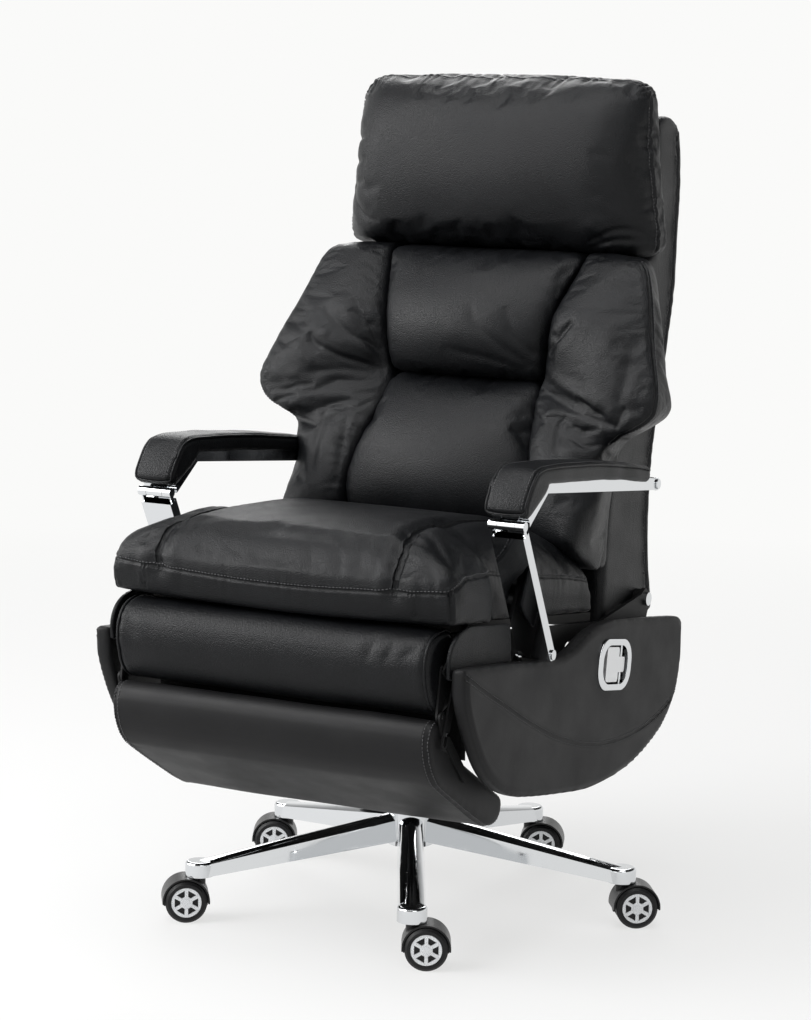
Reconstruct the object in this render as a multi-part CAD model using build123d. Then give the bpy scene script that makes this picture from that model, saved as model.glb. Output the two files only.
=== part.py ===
from build123d import *

import math
import os

# Reclining office chair with a fold-out footrest, all lengths in millimetres.
# +X is to the right of someone who looks at the chair's front, +Y points to its rear and +Z up.
# The origin is on the floor, on the axis of the gas column.

# ---- five-star base and casters ----
LEG_COUNT = 5
FRONT_LEG_ANGLE = 28.5        # the foremost leg, measured from -Y towards +X
TIP_CENTRE_RADIUS = 318.0
TIP_RADIUS = 21.0
TIP_TOP = 86.0
TIP_BOTTOM = 64.5
LEG_WIDTH = 39.0
LEG_WALL = 2.6
LEG_TOP_AT_HUB = 140.0
LEG_BOTTOM_AT_HUB = 100.0
LEG_CROWN = 9.0
HUB_RADIUS = 34.0
HUB_TOP = 152.0
HUB_BOTTOM = 92.0
CASTER_HEADINGS = (118.0, 124.0, 112.0, -62.0, -55.0)   # way each caster trails, from -Y towards +X
CASTER_TRAIL = 20.0
WHEEL_RADIUS = 30.0
WHEEL_WIDTH = 19.0
WHEEL_GAP = 12.0
WHEEL_EDGE = 3.5
WHEEL_RECESS = 3.0
CAP_RADIUS = 21.5
CAP_THICKNESS = 2.4
CAP_WINDOWS = 6
CAP_WINDOW_INNER = 9.0
CAP_WINDOW_OUTER = 18.0
AXLE_RADIUS = 3.5
HOOD_GAP = 1.6
HOOD_WALL = 2.4
HOOD_WEB = 6.0
STEM_RADIUS = 4.0
STEM_BOSS_RADIUS = 8.5
STEM_TOP = 83.0
RUNNING_CLEARANCE = 0.06

# ---- gas column and tilt housing ----
COLUMN_RADIUS = 25.0
COLUMN_TOP = 262.0
PISTON_RADIUS = 14.0
PISTON_BOTTOM = 118.0
PISTON_TOP = 334.0
HOUSING_HALF_WIDTH = 85.0
HOUSING_FRONT = -116.0
HOUSING_REAR = 134.0
HOUSING_BOTTOM = 300.0
HOUSING_TOP = 356.0
HOUSING_WALL = 4.0
CROSS_TUBE_RADIUS = 11.0
CROSS_TUBES = ((-80.0, 361.0), (100.0, 361.0), (-262.0, 436.0))   # (y, z) of the frame's tubes
LEVER_ROD_RADIUS = 4.0
LEVER_LENGTH = 165.0
LEVER_PIVOT = (10.0, 320.0)

# ---- seat ----
SEAT_PITCH = math.tan(math.radians(6.9))    # the seat falls this much towards the back
SEAT_FRONT = -389.0
SEAT_REAR = 105.0
SEAT_BOTTOM_AT_FRONT = 501.0
SEAT_HALF_WIDTH = 242.0
SEAT_FRONT_HALF_WIDTH = SEAT_HALF_WIDTH + 21.0
SEAT_STITCH_RISE = 48.0
SEAT_SEAM_X = SEAT_HALF_WIDTH - 80.0
SEAT_CROWN = 60.0
BOARD_THICKNESS = 12.0
BOARD_HALF_WIDTH = SEAT_HALF_WIDTH - 10.0
BOARD_FRONT = -338.0
SIDE_PLATE_INNER = SEAT_HALF_WIDTH - 1.0
SIDE_PLATE_THICKNESS = 6.0
SIDE_PLATE_BOTTOM = 345.0
APRON_THICKNESS = 8.0
APRON_HEIGHT = 33.0
APRON_FRONT = -308.0
SIDE_PAD_CLEARANCE = 3.0      # between the front side pads and the footrest's link

# ---- side skirts and the recline handle ----
SKIRT_INNER = SEAT_HALF_WIDTH + 22.0
SKIRT_THICKNESS = 24.0
SKIRT_EDGE = 6.0
SPACER_RADIUS = 12.0
SPACERS = ((-150.0, 385.0), (190.0, 385.0))
CUP_CENTRE = (66.0, 377.0)
CUP_SLOPE = -9.0
CUP_LENGTH = 112.0
CUP_HEIGHT = 74.0
CUP_RIM = 9.0
CUP_DEPTH = 21.0
CUP_PROUD = 3.0
CUP_WALL = 1.8
HANDLE_LENGTH = 42.0
HANDLE_HEIGHT = 50.0
HANDLE_THICKNESS = 6.0
HANDLE_FRONT_GAP = 22.0
HANDLE_TAB_LENGTH = 22.0
HANDLE_TAB_HEIGHT = 22.0
HANDLE_PIN_RADIUS = 2.0

# ---- arm linkage: an exact parallelogram seat - post - arm - back ----
RECLINE_PIVOT = (268.0, 438.0)
POST_PIVOT = (-166.0, 431.0)
ARM_REAR_PIVOT = (171.0, 626.0)
ARM_FRONT_PIVOT = (ARM_REAR_PIVOT[0] + POST_PIVOT[0] - RECLINE_PIVOT[0],
                   ARM_REAR_PIVOT[1] + POST_PIVOT[1] - RECLINE_PIVOT[1])
ARM_INNER = SEAT_HALF_WIDTH + 7.0
ARM_WIDTH = 53.0
RAIL_THICKNESS = 17.0
RAIL_BEND = (-198.0, 665.0)
BARREL_RADIUS = 9.25
REAR_ROD_RADIUS = 5.0
KNUCKLE_RADIUS = 7.0
HINGE_PIN_RADIUS = 3.0
KNUCKLE_GAP = 0.5
POST_THICKNESS = 17.0
POST_WALL = 2.0
POST_INSET = 2.5
POST_BOLT_RADIUS = 4.0
PAD_THICKNESS = 21.0
PAD_OVERHANG = 4.0
PAD_REAR = 137.0

# ---- backrest ----
BACK_HALF_WIDTH = SEAT_HALF_WIDTH - 10.0
PADS_DRAWN_AT = 232.0          # the half width of back that the pads' stations are drawn for
BACK_BOTTOM = 405.0
BACK_TOP = 1148.0
FRAME_TUBE_RADIUS = 12.0
FRAME_HALF_WIDTH = BACK_HALF_WIDTH - 36.0
FRAME_TOP = 1090.0
RECLINE_BOLT_RADIUS = 6.0
PAD_SEAT_GAP = 14.0
HEADREST_BOTTOM = 945.0
HEADREST_TOP = 1206.0
HEADREST_REAR = 295.0
HEADREST_FRONT = 208.0
LUMBAR_SEAM_Z = 765.0
PAD_GAP = 0.6

# ---- footrest ----
FOOT_PIVOT = (-382.0, 440.0)
FLIP_PIVOT = (-392.0, 380.0)
LINK_PIVOT = (-340.7, 471.5)
LINK_PIN = (-385.0, 356.4)
LINK_SLOT = 14.0
PLATE_THICKNESS = 3.0
PLATE_GAP = 0.5
PLATE_EYE = 7.0
FOOT_PIN_RADIUS = 3.0
ROLL_HALF_WIDTH = SEAT_HALF_WIDTH + 0.5
PANEL_HALF_WIDTH = SEAT_HALF_WIDTH + 4.5
FOOTREST_SWEEP = 71.0         # the roll and its board turn within this radius of the foot pivot


def span(start, size):
    """A start and an end from a start and a size."""
    return start, start + size


# ---------------------------------------------------------------- shared shapes
def box(x, y, z):
    """A box between two limits on each axis."""
    size = [limits[1] - limits[0] for limits in (x, y, z)]
    return Pos(x[0], y[0], z[0]) * Box(*size, align=(Align.MIN, Align.MIN, Align.MIN))


def rod_x(centre, radius, x):
    """A round rod along X round the (y, z) centre."""
    plane = Plane.YZ.offset(x[0])
    return extrude(plane * Pos(*centre) * Circle(radius), amount=x[1] - x[0], dir=(1, 0, 0))


def rod_z(x, y, radius, z):
    """A round rod along Z."""
    return Pos(x, y, z[0]) * Cylinder(radius, z[1] - z[0], align=(Align.CENTER, Align.CENTER, Align.MIN))


def side_plate(outline, x):
    """An outline of (y, z) points or edges pushed through from one X to another."""
    edges = [outline] if not isinstance(outline, (list, tuple)) else outline
    return extrude(Plane.YZ.offset(x[0]) * make_face(edges), amount=x[1] - x[0], dir=(1, 0, 0))


def rounded_plate(points, radius, x):
    """A polygon of (y, z) points with round corners pushed through along X."""
    face = make_face(Polyline(*points, close=True))
    return extrude(Plane.YZ.offset(x[0]) * fillet(face.vertices(), radius), amount=x[1] - x[0], dir=(1, 0, 0))


def bar(start, end, width, x):
    """A flat link with round ends between two (y, z) pivots."""
    along = Vector(end[0] - start[0], end[1] - start[1])
    middle = ((start[0] + end[0]) / 2, (start[1] + end[1]) / 2)
    angle = math.degrees(math.atan2(along.Y, along.X))
    slot = Plane.YZ.offset(x[0]) * Pos(*middle) * Rot(0, 0, angle) * SlotCenterToCenter(along.length, width)
    return extrude(slot, amount=x[1] - x[0], dir=(1, 0, 0))


def bulged_face(corners, bulges):
    """A closed face through its corners, anticlockwise, each side bowed out by its bulge."""
    edges = []
    for i, bulge in enumerate(bulges):
        a = Vector(*corners[i])
        b = Vector(*corners[(i + 1) % len(corners)])
        side = b - a
        out = Vector(side.Y, -side.X).normalized()
        edges.append(ThreePointArc(a, (a + b) / 2 + out * bulge, b))
    return make_face(edges)


def across(y):
    """The plane square to Y: local x is X and local y is Z."""
    return Plane(origin=(0, y, 0), x_dir=(1, 0, 0), z_dir=(0, -1, 0))


def other_side(shape):
    """The same shape on the chair's other side."""
    return mirror(shape, about=Plane.YZ)


def both_sides(shape):
    """A group of the shape and its mirror image."""
    return Compound(children=[*shape.solids(), *other_side(shape).solids()])


def seat_bottom(y):
    """Height of the cushion's underside, which falls towards the back."""
    return SEAT_BOTTOM_AT_FRONT - SEAT_PITCH * (y - SEAT_FRONT)


# ---------------------------------------------------------------- base
def leg_angle(index):
    return math.radians(FRONT_LEG_ANGLE + index * 360.0 / LEG_COUNT)


def leg_section(width, bottom, top, crown):
    """An arched channel section, flat below."""
    shoulder = top - crown
    half = width / 2
    return make_face([
        Line((-half, bottom), (half, bottom)),
        Line((half, bottom), (half * 0.86, shoulder)),
        ThreePointArc((half * 0.86, shoulder), (0, top), (-half * 0.86, shoulder)),
        Line((-half * 0.86, shoulder), (-half, bottom)),
    ])


def leg():
    """One leg along -Y: an arched channel, open below, that falls towards its tip."""
    root = across(-HUB_RADIUS * 0.6)
    tip = across(-TIP_CENTRE_RADIUS)
    outer = loft([root * leg_section(LEG_WIDTH, LEG_BOTTOM_AT_HUB, LEG_TOP_AT_HUB, LEG_CROWN),
                  tip * leg_section(LEG_WIDTH, TIP_BOTTOM, TIP_TOP, LEG_CROWN / 2)])
    hollow_width = LEG_WIDTH - 2 * LEG_WALL
    inner = loft([across(-HUB_RADIUS) * leg_section(hollow_width, LEG_BOTTOM_AT_HUB - HUB_RADIUS,
                                                    LEG_TOP_AT_HUB - 2 * LEG_WALL, LEG_CROWN),
                  tip * leg_section(hollow_width, TIP_BOTTOM - HUB_RADIUS, TIP_TOP - LEG_WALL, LEG_CROWN / 2)])
    block = rod_z(0, -TIP_CENTRE_RADIUS, TIP_RADIUS, (TIP_BOTTOM, TIP_TOP))
    block = fillet(block.edges().group_by(Axis.Z)[-1], LEG_CROWN / 2)
    socket = rod_z(0, -TIP_CENTRE_RADIUS, STEM_RADIUS + RUNNING_CLEARANCE, (TIP_BOTTOM, STEM_TOP))
    return outer - inner + block - socket


def star_base():
    arms = leg()
    hub = rod_z(0, 0, HUB_RADIUS, (HUB_BOTTOM, HUB_TOP))
    hub = fillet(hub.edges().group_by(Axis.Z)[-1], LEG_CROWN / 2)
    base = hub
    for i in range(LEG_COUNT):
        base += Rot(0, 0, math.degrees(leg_angle(i))) * arms
    return base - rod_z(0, 0, COLUMN_RADIUS + RUNNING_CLEARANCE, (HUB_BOTTOM - LEG_CROWN, HUB_TOP + LEG_CROWN))


def column_tube():
    tube = rod_z(0, 0, COLUMN_RADIUS, (HUB_BOTTOM, COLUMN_TOP))
    tube = chamfer(tube.edges().group_by(Axis.Z)[-1], LEG_WALL)
    bore = rod_z(0, 0, PISTON_RADIUS + RUNNING_CLEARANCE, (HUB_BOTTOM + LEG_CROWN, COLUMN_TOP))
    return tube - bore


def column_piston():
    return rod_z(0, 0, PISTON_RADIUS, (PISTON_BOTTOM, PISTON_TOP))


# ---------------------------------------------------------------- casters
def wheel():
    """One caster wheel on the X axis, its outer face at +X, dished to take the cap."""
    inner = WHEEL_GAP / 2
    outer = inner + WHEEL_WIDTH
    rim = WHEEL_RADIUS
    profile = make_face(Polyline(
        (inner, AXLE_RADIUS + RUNNING_CLEARANCE), (inner, rim - WHEEL_EDGE), (inner + WHEEL_EDGE, rim),
        (outer - WHEEL_EDGE, rim), (outer, rim - WHEEL_EDGE), (outer, CAP_RADIUS + PLATE_GAP),
        (outer - WHEEL_RECESS, CAP_RADIUS + PLATE_GAP), (outer - WHEEL_RECESS, AXLE_RADIUS + RUNNING_CLEARANCE),
        close=True))
    return revolve(profile, axis=Axis.X, revolution_arc=360)


def cap():
    """The spoked disc in a wheel's outer face."""
    face_x = WHEEL_GAP / 2 + WHEEL_WIDTH - WHEEL_RECESS
    disc = Circle(CAP_RADIUS)
    half_step = math.radians(360.0 / CAP_WINDOWS / 2)
    for i in range(CAP_WINDOWS):
        middle = math.radians(i * 360.0 / CAP_WINDOWS)
        corners = []
        for radius, share in ((CAP_WINDOW_INNER, 0.5), (CAP_WINDOW_OUTER, 0.72)):
            for side in (-1, 1):
                turn = middle + side * share * half_step
                corners.append((radius * math.cos(turn), radius * math.sin(turn)))
        disc -= make_face(Polyline(corners[0], corners[1], corners[3], corners[2], close=True))
    plate = extrude(Plane.YZ.offset(face_x) * disc, amount=CAP_THICKNESS, dir=(1, 0, 0))
    boss = rod_x((0, 0), CAP_WINDOW_INNER * 0.6, span(face_x + CAP_THICKNESS, CAP_THICKNESS / 2))
    return plate + boss


def hood():
    """The body between the twin wheels with a guard over their tops and the boss for the stem."""
    guard_inner = WHEEL_RADIUS + HOOD_GAP
    guard_outer = guard_inner + HOOD_WALL
    half_width = WHEEL_GAP / 2 + WHEEL_WIDTH - WHEEL_RECESS
    ring = Circle(guard_outer) - Circle(guard_inner)
    lower = Pos(0, -guard_outer) * Rectangle(4 * guard_outer, 2 * guard_outer - guard_inner * 0.2)
    ring -= lower
    guard = extrude(Plane.YZ.offset(-half_width) * ring, amount=2 * half_width, dir=(1, 0, 0))
    web = rod_x((0, 0), guard_inner + HOOD_WALL / 2, (-HOOD_WEB / 2, HOOD_WEB / 2)) - box(
        (-HOOD_WEB, HOOD_WEB), (-2 * guard_outer, 2 * guard_outer), (-2 * guard_outer, -WHEEL_RADIUS / 3))
    boss = rod_z(0, -CASTER_TRAIL, STEM_BOSS_RADIUS, (0, TIP_BOTTOM - WHEEL_RADIUS - PLATE_GAP))
    wheels_space = rod_x((0, 0), WHEEL_RADIUS + PLATE_GAP, (WHEEL_GAP / 2 - PLATE_GAP, 2 * half_width))
    wheels_space += other_side(wheels_space)
    body = guard + web + (boss - wheels_space)
    stem_hole = rod_z(0, -CASTER_TRAIL, STEM_RADIUS, (0, 2 * WHEEL_RADIUS))
    axle_hole = rod_x((0, 0), AXLE_RADIUS + RUNNING_CLEARANCE, (-HOOD_WEB, HOOD_WEB))
    return body - stem_hole - axle_hole


def stem():
    """The steel pin that turns in the leg's tip."""
    return rod_z(0, -CASTER_TRAIL, STEM_RADIUS, (0, STEM_TOP - WHEEL_RADIUS - PLATE_GAP))


def axle():
    reach = WHEEL_GAP / 2 + WHEEL_WIDTH - WHEEL_RECESS
    return rod_x((0, 0), AXLE_RADIUS, (-reach, reach))


def caster_place(index):
    """Where a caster's wheels turn: the axle lies behind the stem by the trail."""
    heading = math.radians(CASTER_HEADINGS[index])
    x = TIP_CENTRE_RADIUS * math.sin(leg_angle(index)) + CASTER_TRAIL * math.sin(heading)
    y = -TIP_CENTRE_RADIUS * math.cos(leg_angle(index)) - CASTER_TRAIL * math.cos(heading)
    return Pos(x, y, WHEEL_RADIUS) * Rot(0, 0, CASTER_HEADINGS[index] + 180)


def caster_parts(index):
    """The five nodes of one caster in their place under a leg's tip."""
    place = caster_place(index)
    wheels = both_sides(wheel())
    caps = both_sides(cap())
    return {
        f"caster_hood_{index + 1}": place * hood(),
        f"caster_pins_{index + 1}": place * Compound(children=[*stem().solids(), *axle().solids()]),
        f"caster_wheels_{index + 1}": place * wheels,
        f"caster_caps_{index + 1}": place * caps,
    }


# ---------------------------------------------------------------- seat structure
def tilt_housing():
    """A pressed steel box on the piston, saddled under the two lower cross tubes."""
    shell = box((-HOUSING_HALF_WIDTH, HOUSING_HALF_WIDTH), (HOUSING_FRONT, HOUSING_REAR), (HOUSING_BOTTOM, HOUSING_TOP))
    shell = fillet(shell.edges().filter_by(Axis.Z), CROSS_TUBE_RADIUS)
    hollow = box((-HOUSING_HALF_WIDTH + HOUSING_WALL, HOUSING_HALF_WIDTH - HOUSING_WALL),
                 (HOUSING_FRONT + HOUSING_WALL, HOUSING_REAR - HOUSING_WALL),
                 (HOUSING_BOTTOM - HOUSING_WALL, HOUSING_TOP - 4 * HOUSING_WALL))
    cone = rod_z(0, 0, PISTON_RADIUS + 3 * HOUSING_WALL, (HOUSING_BOTTOM, HOUSING_TOP - HOUSING_WALL))
    socket = rod_z(0, 0, PISTON_RADIUS + RUNNING_CLEARANCE, (HOUSING_BOTTOM, PISTON_TOP))
    block = shell - hollow + cone - socket
    for tube in CROSS_TUBES[:2]:
        block -= rod_x(tube, CROSS_TUBE_RADIUS + RUNNING_CLEARANCE, (-2 * HOUSING_HALF_WIDTH, 2 * HOUSING_HALF_WIDTH))
    slot_x = (-HOUSING_HALF_WIDTH - HOUSING_WALL, -HOUSING_HALF_WIDTH + 2 * HOUSING_WALL)
    return block - rod_x(LEVER_PIVOT, LEVER_ROD_RADIUS + PLATE_GAP / 2, slot_x)


def height_lever():
    """The rod and paddle that let the gas column move."""
    inner = -HOUSING_HALF_WIDTH + 3 * HOUSING_WALL
    outer = inner - LEVER_LENGTH
    rod = rod_x(LEVER_PIVOT, LEVER_ROD_RADIUS, (outer + LEVER_LENGTH / 4, inner))
    paddle = box((outer, outer + LEVER_LENGTH / 3),
                 (LEVER_PIVOT[0] - 4 * LEVER_ROD_RADIUS, LEVER_PIVOT[0] + 4 * LEVER_ROD_RADIUS),
                 (LEVER_PIVOT[1] - LEVER_ROD_RADIUS, LEVER_PIVOT[1] + LEVER_ROD_RADIUS / 2))
    return rod + fillet(paddle.edges().filter_by(Axis.Z), 2 * LEVER_ROD_RADIUS)


def seat_frame():
    """Two pressed side plates joined by tubes; the plates' forward horns carry the footrest."""
    board_line = BOARD_THICKNESS + PAD_GAP
    ear = SPACER_RADIUS + CROSS_TUBE_RADIUS / 2
    front = FOOT_PIVOT[0] + FOOTREST_SWEEP
    outline = [
        (front + 3 * ear, FOOT_PIVOT[1] - 4 * ear), (front, FOOT_PIVOT[1] - ear), (front, FOOT_PIVOT[1] + ear),
        (front, seat_bottom(front) - board_line), (SEAT_REAR, seat_bottom(SEAT_REAR) - board_line), (RECLINE_PIVOT[0] - ear, RECLINE_PIVOT[1] + ear / 2),
        (RECLINE_PIVOT[0], RECLINE_PIVOT[1] + ear), (RECLINE_PIVOT[0] + ear, RECLINE_PIVOT[1]),
        (RECLINE_PIVOT[0], RECLINE_PIVOT[1] - 2 * ear), (CROSS_TUBES[1][0] + 2 * ear, SIDE_PLATE_BOTTOM),
        (CROSS_TUBES[0][0] - ear, SIDE_PLATE_BOTTOM),
    ]
    plate_x = span(SIDE_PLATE_INNER, SIDE_PLATE_THICKNESS)
    plate = rounded_plate(outline, 6, plate_x)
    plate -= rod_x((0, 400), ear, plate_x)
    plate -= rod_x((-2 * HOUSING_REAR + CROSS_TUBES[1][0], 410), ear, plate_x)
    horn_x = span(plate_x[1], PLATE_THICKNESS)
    horn = rounded_plate([
        (front + 3 * ear, FOOT_PIVOT[1] + ear), (front, LINK_PIVOT[1] + ear / 3),
        (LINK_PIVOT[0] - ear / 2, LINK_PIVOT[1] + ear / 2), (FOOT_PIVOT[0] - ear / 2, FOOT_PIVOT[1]),
        (FOOT_PIVOT[0], FOOT_PIVOT[1] - ear / 2), (front + 3 * ear, FOOT_PIVOT[1] - 2 * ear)], 5, horn_x)
    spacers = [rod_x(centre, SPACER_RADIUS, (plate_x[1], SKIRT_INNER)) for centre in SPACERS]
    side = plate + horn
    for spacer in spacers:
        side += spacer
    holes = (
        (POST_PIVOT, POST_BOLT_RADIUS), (RECLINE_PIVOT, RECLINE_BOLT_RADIUS),
        (FOOT_PIVOT, FOOT_PIN_RADIUS), (LINK_PIVOT, FOOT_PIN_RADIUS))
    for centre, radius in holes:
        side -= rod_x(centre, radius + RUNNING_CLEARANCE, (SIDE_PLATE_INNER, SKIRT_INNER))
    frame = side + other_side(side)
    for tube in CROSS_TUBES:
        frame += rod_x(tube, CROSS_TUBE_RADIUS, (-SIDE_PLATE_INNER, SIDE_PLATE_INNER))
    return frame


def seat_board():
    """The bent plywood under the cushion."""
    points = []
    for y, drop in ((BOARD_FRONT, 0), (SEAT_REAR, 0), (SEAT_REAR, BOARD_THICKNESS), (BOARD_FRONT, BOARD_THICKNESS)):
        points.append((y, seat_bottom(y) - PAD_GAP / 2 - drop))
    board = side_plate(Polyline(*points, close=True), (-BOARD_HALF_WIDTH, BOARD_HALF_WIDTH))
    return fillet(board.edges().filter_by(lambda e: e.length < 2 * BOARD_THICKNESS), 2)


def seat_section(y, half_width, crown, lift):
    """The cushion across Y: a flat underside, bowed sides and three lobes between the seams."""
    bottom = seat_bottom(y) + lift
    stitch = seat_bottom(y) + SEAT_STITCH_RISE
    valley = stitch + crown - SEAT_CROWN / 12
    corners = [(-half_width + lift, bottom), (half_width - lift, bottom), (half_width, stitch),
               (SEAT_SEAM_X, valley), (-SEAT_SEAM_X, valley), (-half_width, stitch)]
    return across(y) * bulged_face(corners, [0.4, 4, crown * 0.25 + 2, crown * 0.12 + 2, crown * 0.25 + 2, 4])


def seat_cushion():
    crown = SEAT_CROWN
    wide = SEAT_FRONT_HALF_WIDTH
    stations = [
        (SEAT_FRONT, wide - 6, 2.0, 8.0), (SEAT_FRONT + 10, wide, crown * 0.32, 2.0),
        (SEAT_FRONT + 45, wide, crown * 0.74, 0.0), (SEAT_FRONT + 112, wide - 2, crown * 0.98, 0.0),
        (SEAT_FRONT + 150, SEAT_HALF_WIDTH, crown * 1.05, 0.0), (SEAT_FRONT + 250, SEAT_HALF_WIDTH - 1, crown * 1.12, 0.0),
        (SEAT_FRONT + 350, SEAT_HALF_WIDTH - 1, crown, 0.0), (SEAT_REAR - 60, SEAT_HALF_WIDTH - 1, crown * 0.64, 0.0),
        (SEAT_REAR - 14, SEAT_HALF_WIDTH - 2, crown * 0.25, 1.0), (SEAT_REAR, SEAT_HALF_WIDTH - 8, 2.0, 6.0)]
    cushion = loft([seat_section(*station) for station in stations])
    front, rear = SEAT_FRONT - SEAT_CROWN, SEAT_REAR + SEAT_CROWN
    below = side_plate(Polyline(
        (front, seat_bottom(front)), (rear, seat_bottom(rear)),
        (rear, seat_bottom(rear) - SEAT_CROWN), (front, seat_bottom(front) - SEAT_CROWN), close=True),
        (-2 * SEAT_HALF_WIDTH, 2 * SEAT_HALF_WIDTH))
    return cushion - below


def side_pad_outline():
    """The leather pad in front of an arm post: its rounded nose reaches the end of the roll."""
    return [
        Line((-217, 424), (-398, 430)),
        ThreePointArc((-398, 430), (-401, 453), (-384, 471)),
        ThreePointArc((-384, 471), (-350, 477), (-300, 475)),
        Line((-300, 475), (-228, 466)),
        ThreePointArc((-228, 466), (-217, 457), (-217, 424)),
    ]


def seat_apron():
    """The leather pads on the skirts' inner faces and the band across the frame behind the roll."""
    inner = link_x()[1] + SIDE_PAD_CLEARANCE
    pad = side_plate(side_pad_outline(), (inner, SKIRT_INNER - PAD_GAP / 2))
    pad = fillet(pad.edges().group_by(Axis.X)[-1], APRON_THICKNESS / 4)
    reach = SIDE_PLATE_INNER - PLATE_GAP / 2
    rear = APRON_FRONT + APRON_THICKNESS
    top = seat_bottom(rear) - BOARD_THICKNESS - PAD_GAP
    band = box((-reach, reach), (APRON_FRONT, rear), (top - APRON_HEIGHT / 2, top))
    return pad + other_side(pad) + band


# ---------------------------------------------------------------- skirts and recline handle
def skirt_outline():
    """Edges of the skirt seen from the side: a boat-shaped panel with a stepped top."""
    return [
        Line((-401, 449), (-120, 415)),
        ThreePointArc((-120, 415), (-62, 420), (-20, 433)),
        ThreePointArc((-20, 433), (24, 442), (75, 442)),
        Line((75, 442), (306, 410)),
        ThreePointArc((306, 410), (318, 402), (322, 388)),
        ThreePointArc((322, 388), (262, 262), (110, 211)),
        ThreePointArc((110, 211), (-70, 216), (-238, 246)),
        ThreePointArc((-238, 246), (-352, 312), (-401, 420)),
        Line((-401, 420), (-401, 449)),
    ]


def skirt():
    panel = side_plate(skirt_outline(), span(SKIRT_INNER, SKIRT_THICKNESS))
    outer_edges = panel.edges().group_by(Axis.X)[-1]
    return fillet(outer_edges, SKIRT_EDGE)


def cup_oval(length, height, x):
    """The recline handle's oval, sloped with the skirt."""
    shape = Pos(*CUP_CENTRE) * Rot(0, 0, CUP_SLOPE) * RectangleRounded(length, height, height * 0.42)
    return Plane.YZ.offset(x) * shape


def cup_hole():
    inner = SKIRT_INNER + SKIRT_THICKNESS + CUP_PROUD - CUP_DEPTH - CUP_WALL
    oval = cup_oval(CUP_LENGTH - CUP_RIM, CUP_HEIGHT - CUP_RIM, SKIRT_INNER - CUP_DEPTH)
    return extrude(oval, amount=2 * CUP_DEPTH + SKIRT_THICKNESS, dir=(1, 0, 0)), inner


def handle_cup():
    """A chromed dish with a broad rim, let into the right skirt."""
    face = SKIRT_INNER + SKIRT_THICKNESS
    rim = extrude(cup_oval(CUP_LENGTH, CUP_HEIGHT, face), amount=CUP_PROUD, dir=(1, 0, 0))
    rim = fillet(rim.edges().group_by(Axis.X)[-1], CUP_PROUD / 2)
    floor = face + CUP_PROUD - CUP_DEPTH - CUP_WALL
    body_length = CUP_LENGTH - CUP_RIM - 2 * RUNNING_CLEARANCE
    body_height = CUP_HEIGHT - CUP_RIM - 2 * RUNNING_CLEARANCE
    body = extrude(cup_oval(body_length, body_height, floor), amount=CUP_DEPTH, dir=(1, 0, 0))
    hollow = extrude(cup_oval(body_length - 2 * CUP_RIM, body_height - CUP_RIM, floor + CUP_WALL),
                     amount=2 * CUP_DEPTH, dir=(1, 0, 0))
    pin_hole = handle_pin(HANDLE_PIN_RADIUS + RUNNING_CLEARANCE)
    return rim + body - hollow - pin_hole


def handle_frame(x):
    """Local axes of the handle: local x runs to the rear along the cup, local y up."""
    return Plane.YZ.offset(x) * Pos(*CUP_CENTRE) * Rot(0, 0, CUP_SLOPE)


def handle_x():
    return SKIRT_INNER + SKIRT_THICKNESS - HANDLE_THICKNESS


def handle_front():
    """Local place of the paddle's front edge, behind the finger gap."""
    return -(CUP_LENGTH - 2 * CUP_RIM) / 2 + HANDLE_FRONT_GAP


def hinge_local():
    return handle_front() + HANDLE_LENGTH + HANDLE_TAB_LENGTH / 2


def handle_pin(radius):
    """The handle's upright pin, along the cup's short axis."""
    place = Pos(handle_x() + HANDLE_THICKNESS / 2, CUP_CENTRE[0], CUP_CENTRE[1]) * Rot(CUP_SLOPE, 0, 0)
    half = (CUP_HEIGHT - CUP_RIM) / 2 - CUP_WALL / 2
    return place * Pos(0, hinge_local(), -half) * Cylinder(radius, 2 * half, align=(Align.CENTER, Align.CENTER, Align.MIN))


def recline_handle():
    """The paddle that is pulled outwards at its front edge, with a narrower tab on the pin."""
    front = handle_front()
    paddle = Pos(front + HANDLE_LENGTH / 2, 0) * RectangleRounded(HANDLE_LENGTH, HANDLE_HEIGHT, 5)
    tab = Pos(front + HANDLE_LENGTH + HANDLE_TAB_LENGTH / 2 - 2, 0) * RectangleRounded(
        HANDLE_TAB_LENGTH, HANDLE_TAB_HEIGHT, 3)
    blade = extrude(handle_frame(handle_x()) * (paddle + tab), amount=HANDLE_THICKNESS, dir=(1, 0, 0))
    return blade - handle_pin(HANDLE_PIN_RADIUS + RUNNING_CLEARANCE)


# ---------------------------------------------------------------- arms and posts, right side
def arm_x():
    return span(ARM_INNER, ARM_WIDTH)


def knuckle_spans():
    """X limits of the hinge's three knuckles: the post's two outside, the arm's between."""
    x0, x1 = arm_x()
    quarter = ARM_WIDTH / 4
    return (x0, x0 + quarter), (x0 + quarter + KNUCKLE_GAP, x1 - quarter - KNUCKLE_GAP), (x1 - quarter, x1)


def rail_line():
    """The middle line of the rail from the front hinge over the bend to the rear barrel."""
    return [ARM_FRONT_PIVOT, RAIL_BEND, (ARM_REAR_PIVOT[0], ARM_REAR_PIVOT[1])]


def thick_line(points, thickness, x):
    """A bent flat bar of even thickness, mitred at the bend."""
    body = None
    for start, end in zip(points, points[1:]):
        piece = bar(start, end, thickness, x)
        body = piece if body is None else body + piece
    return body


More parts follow.
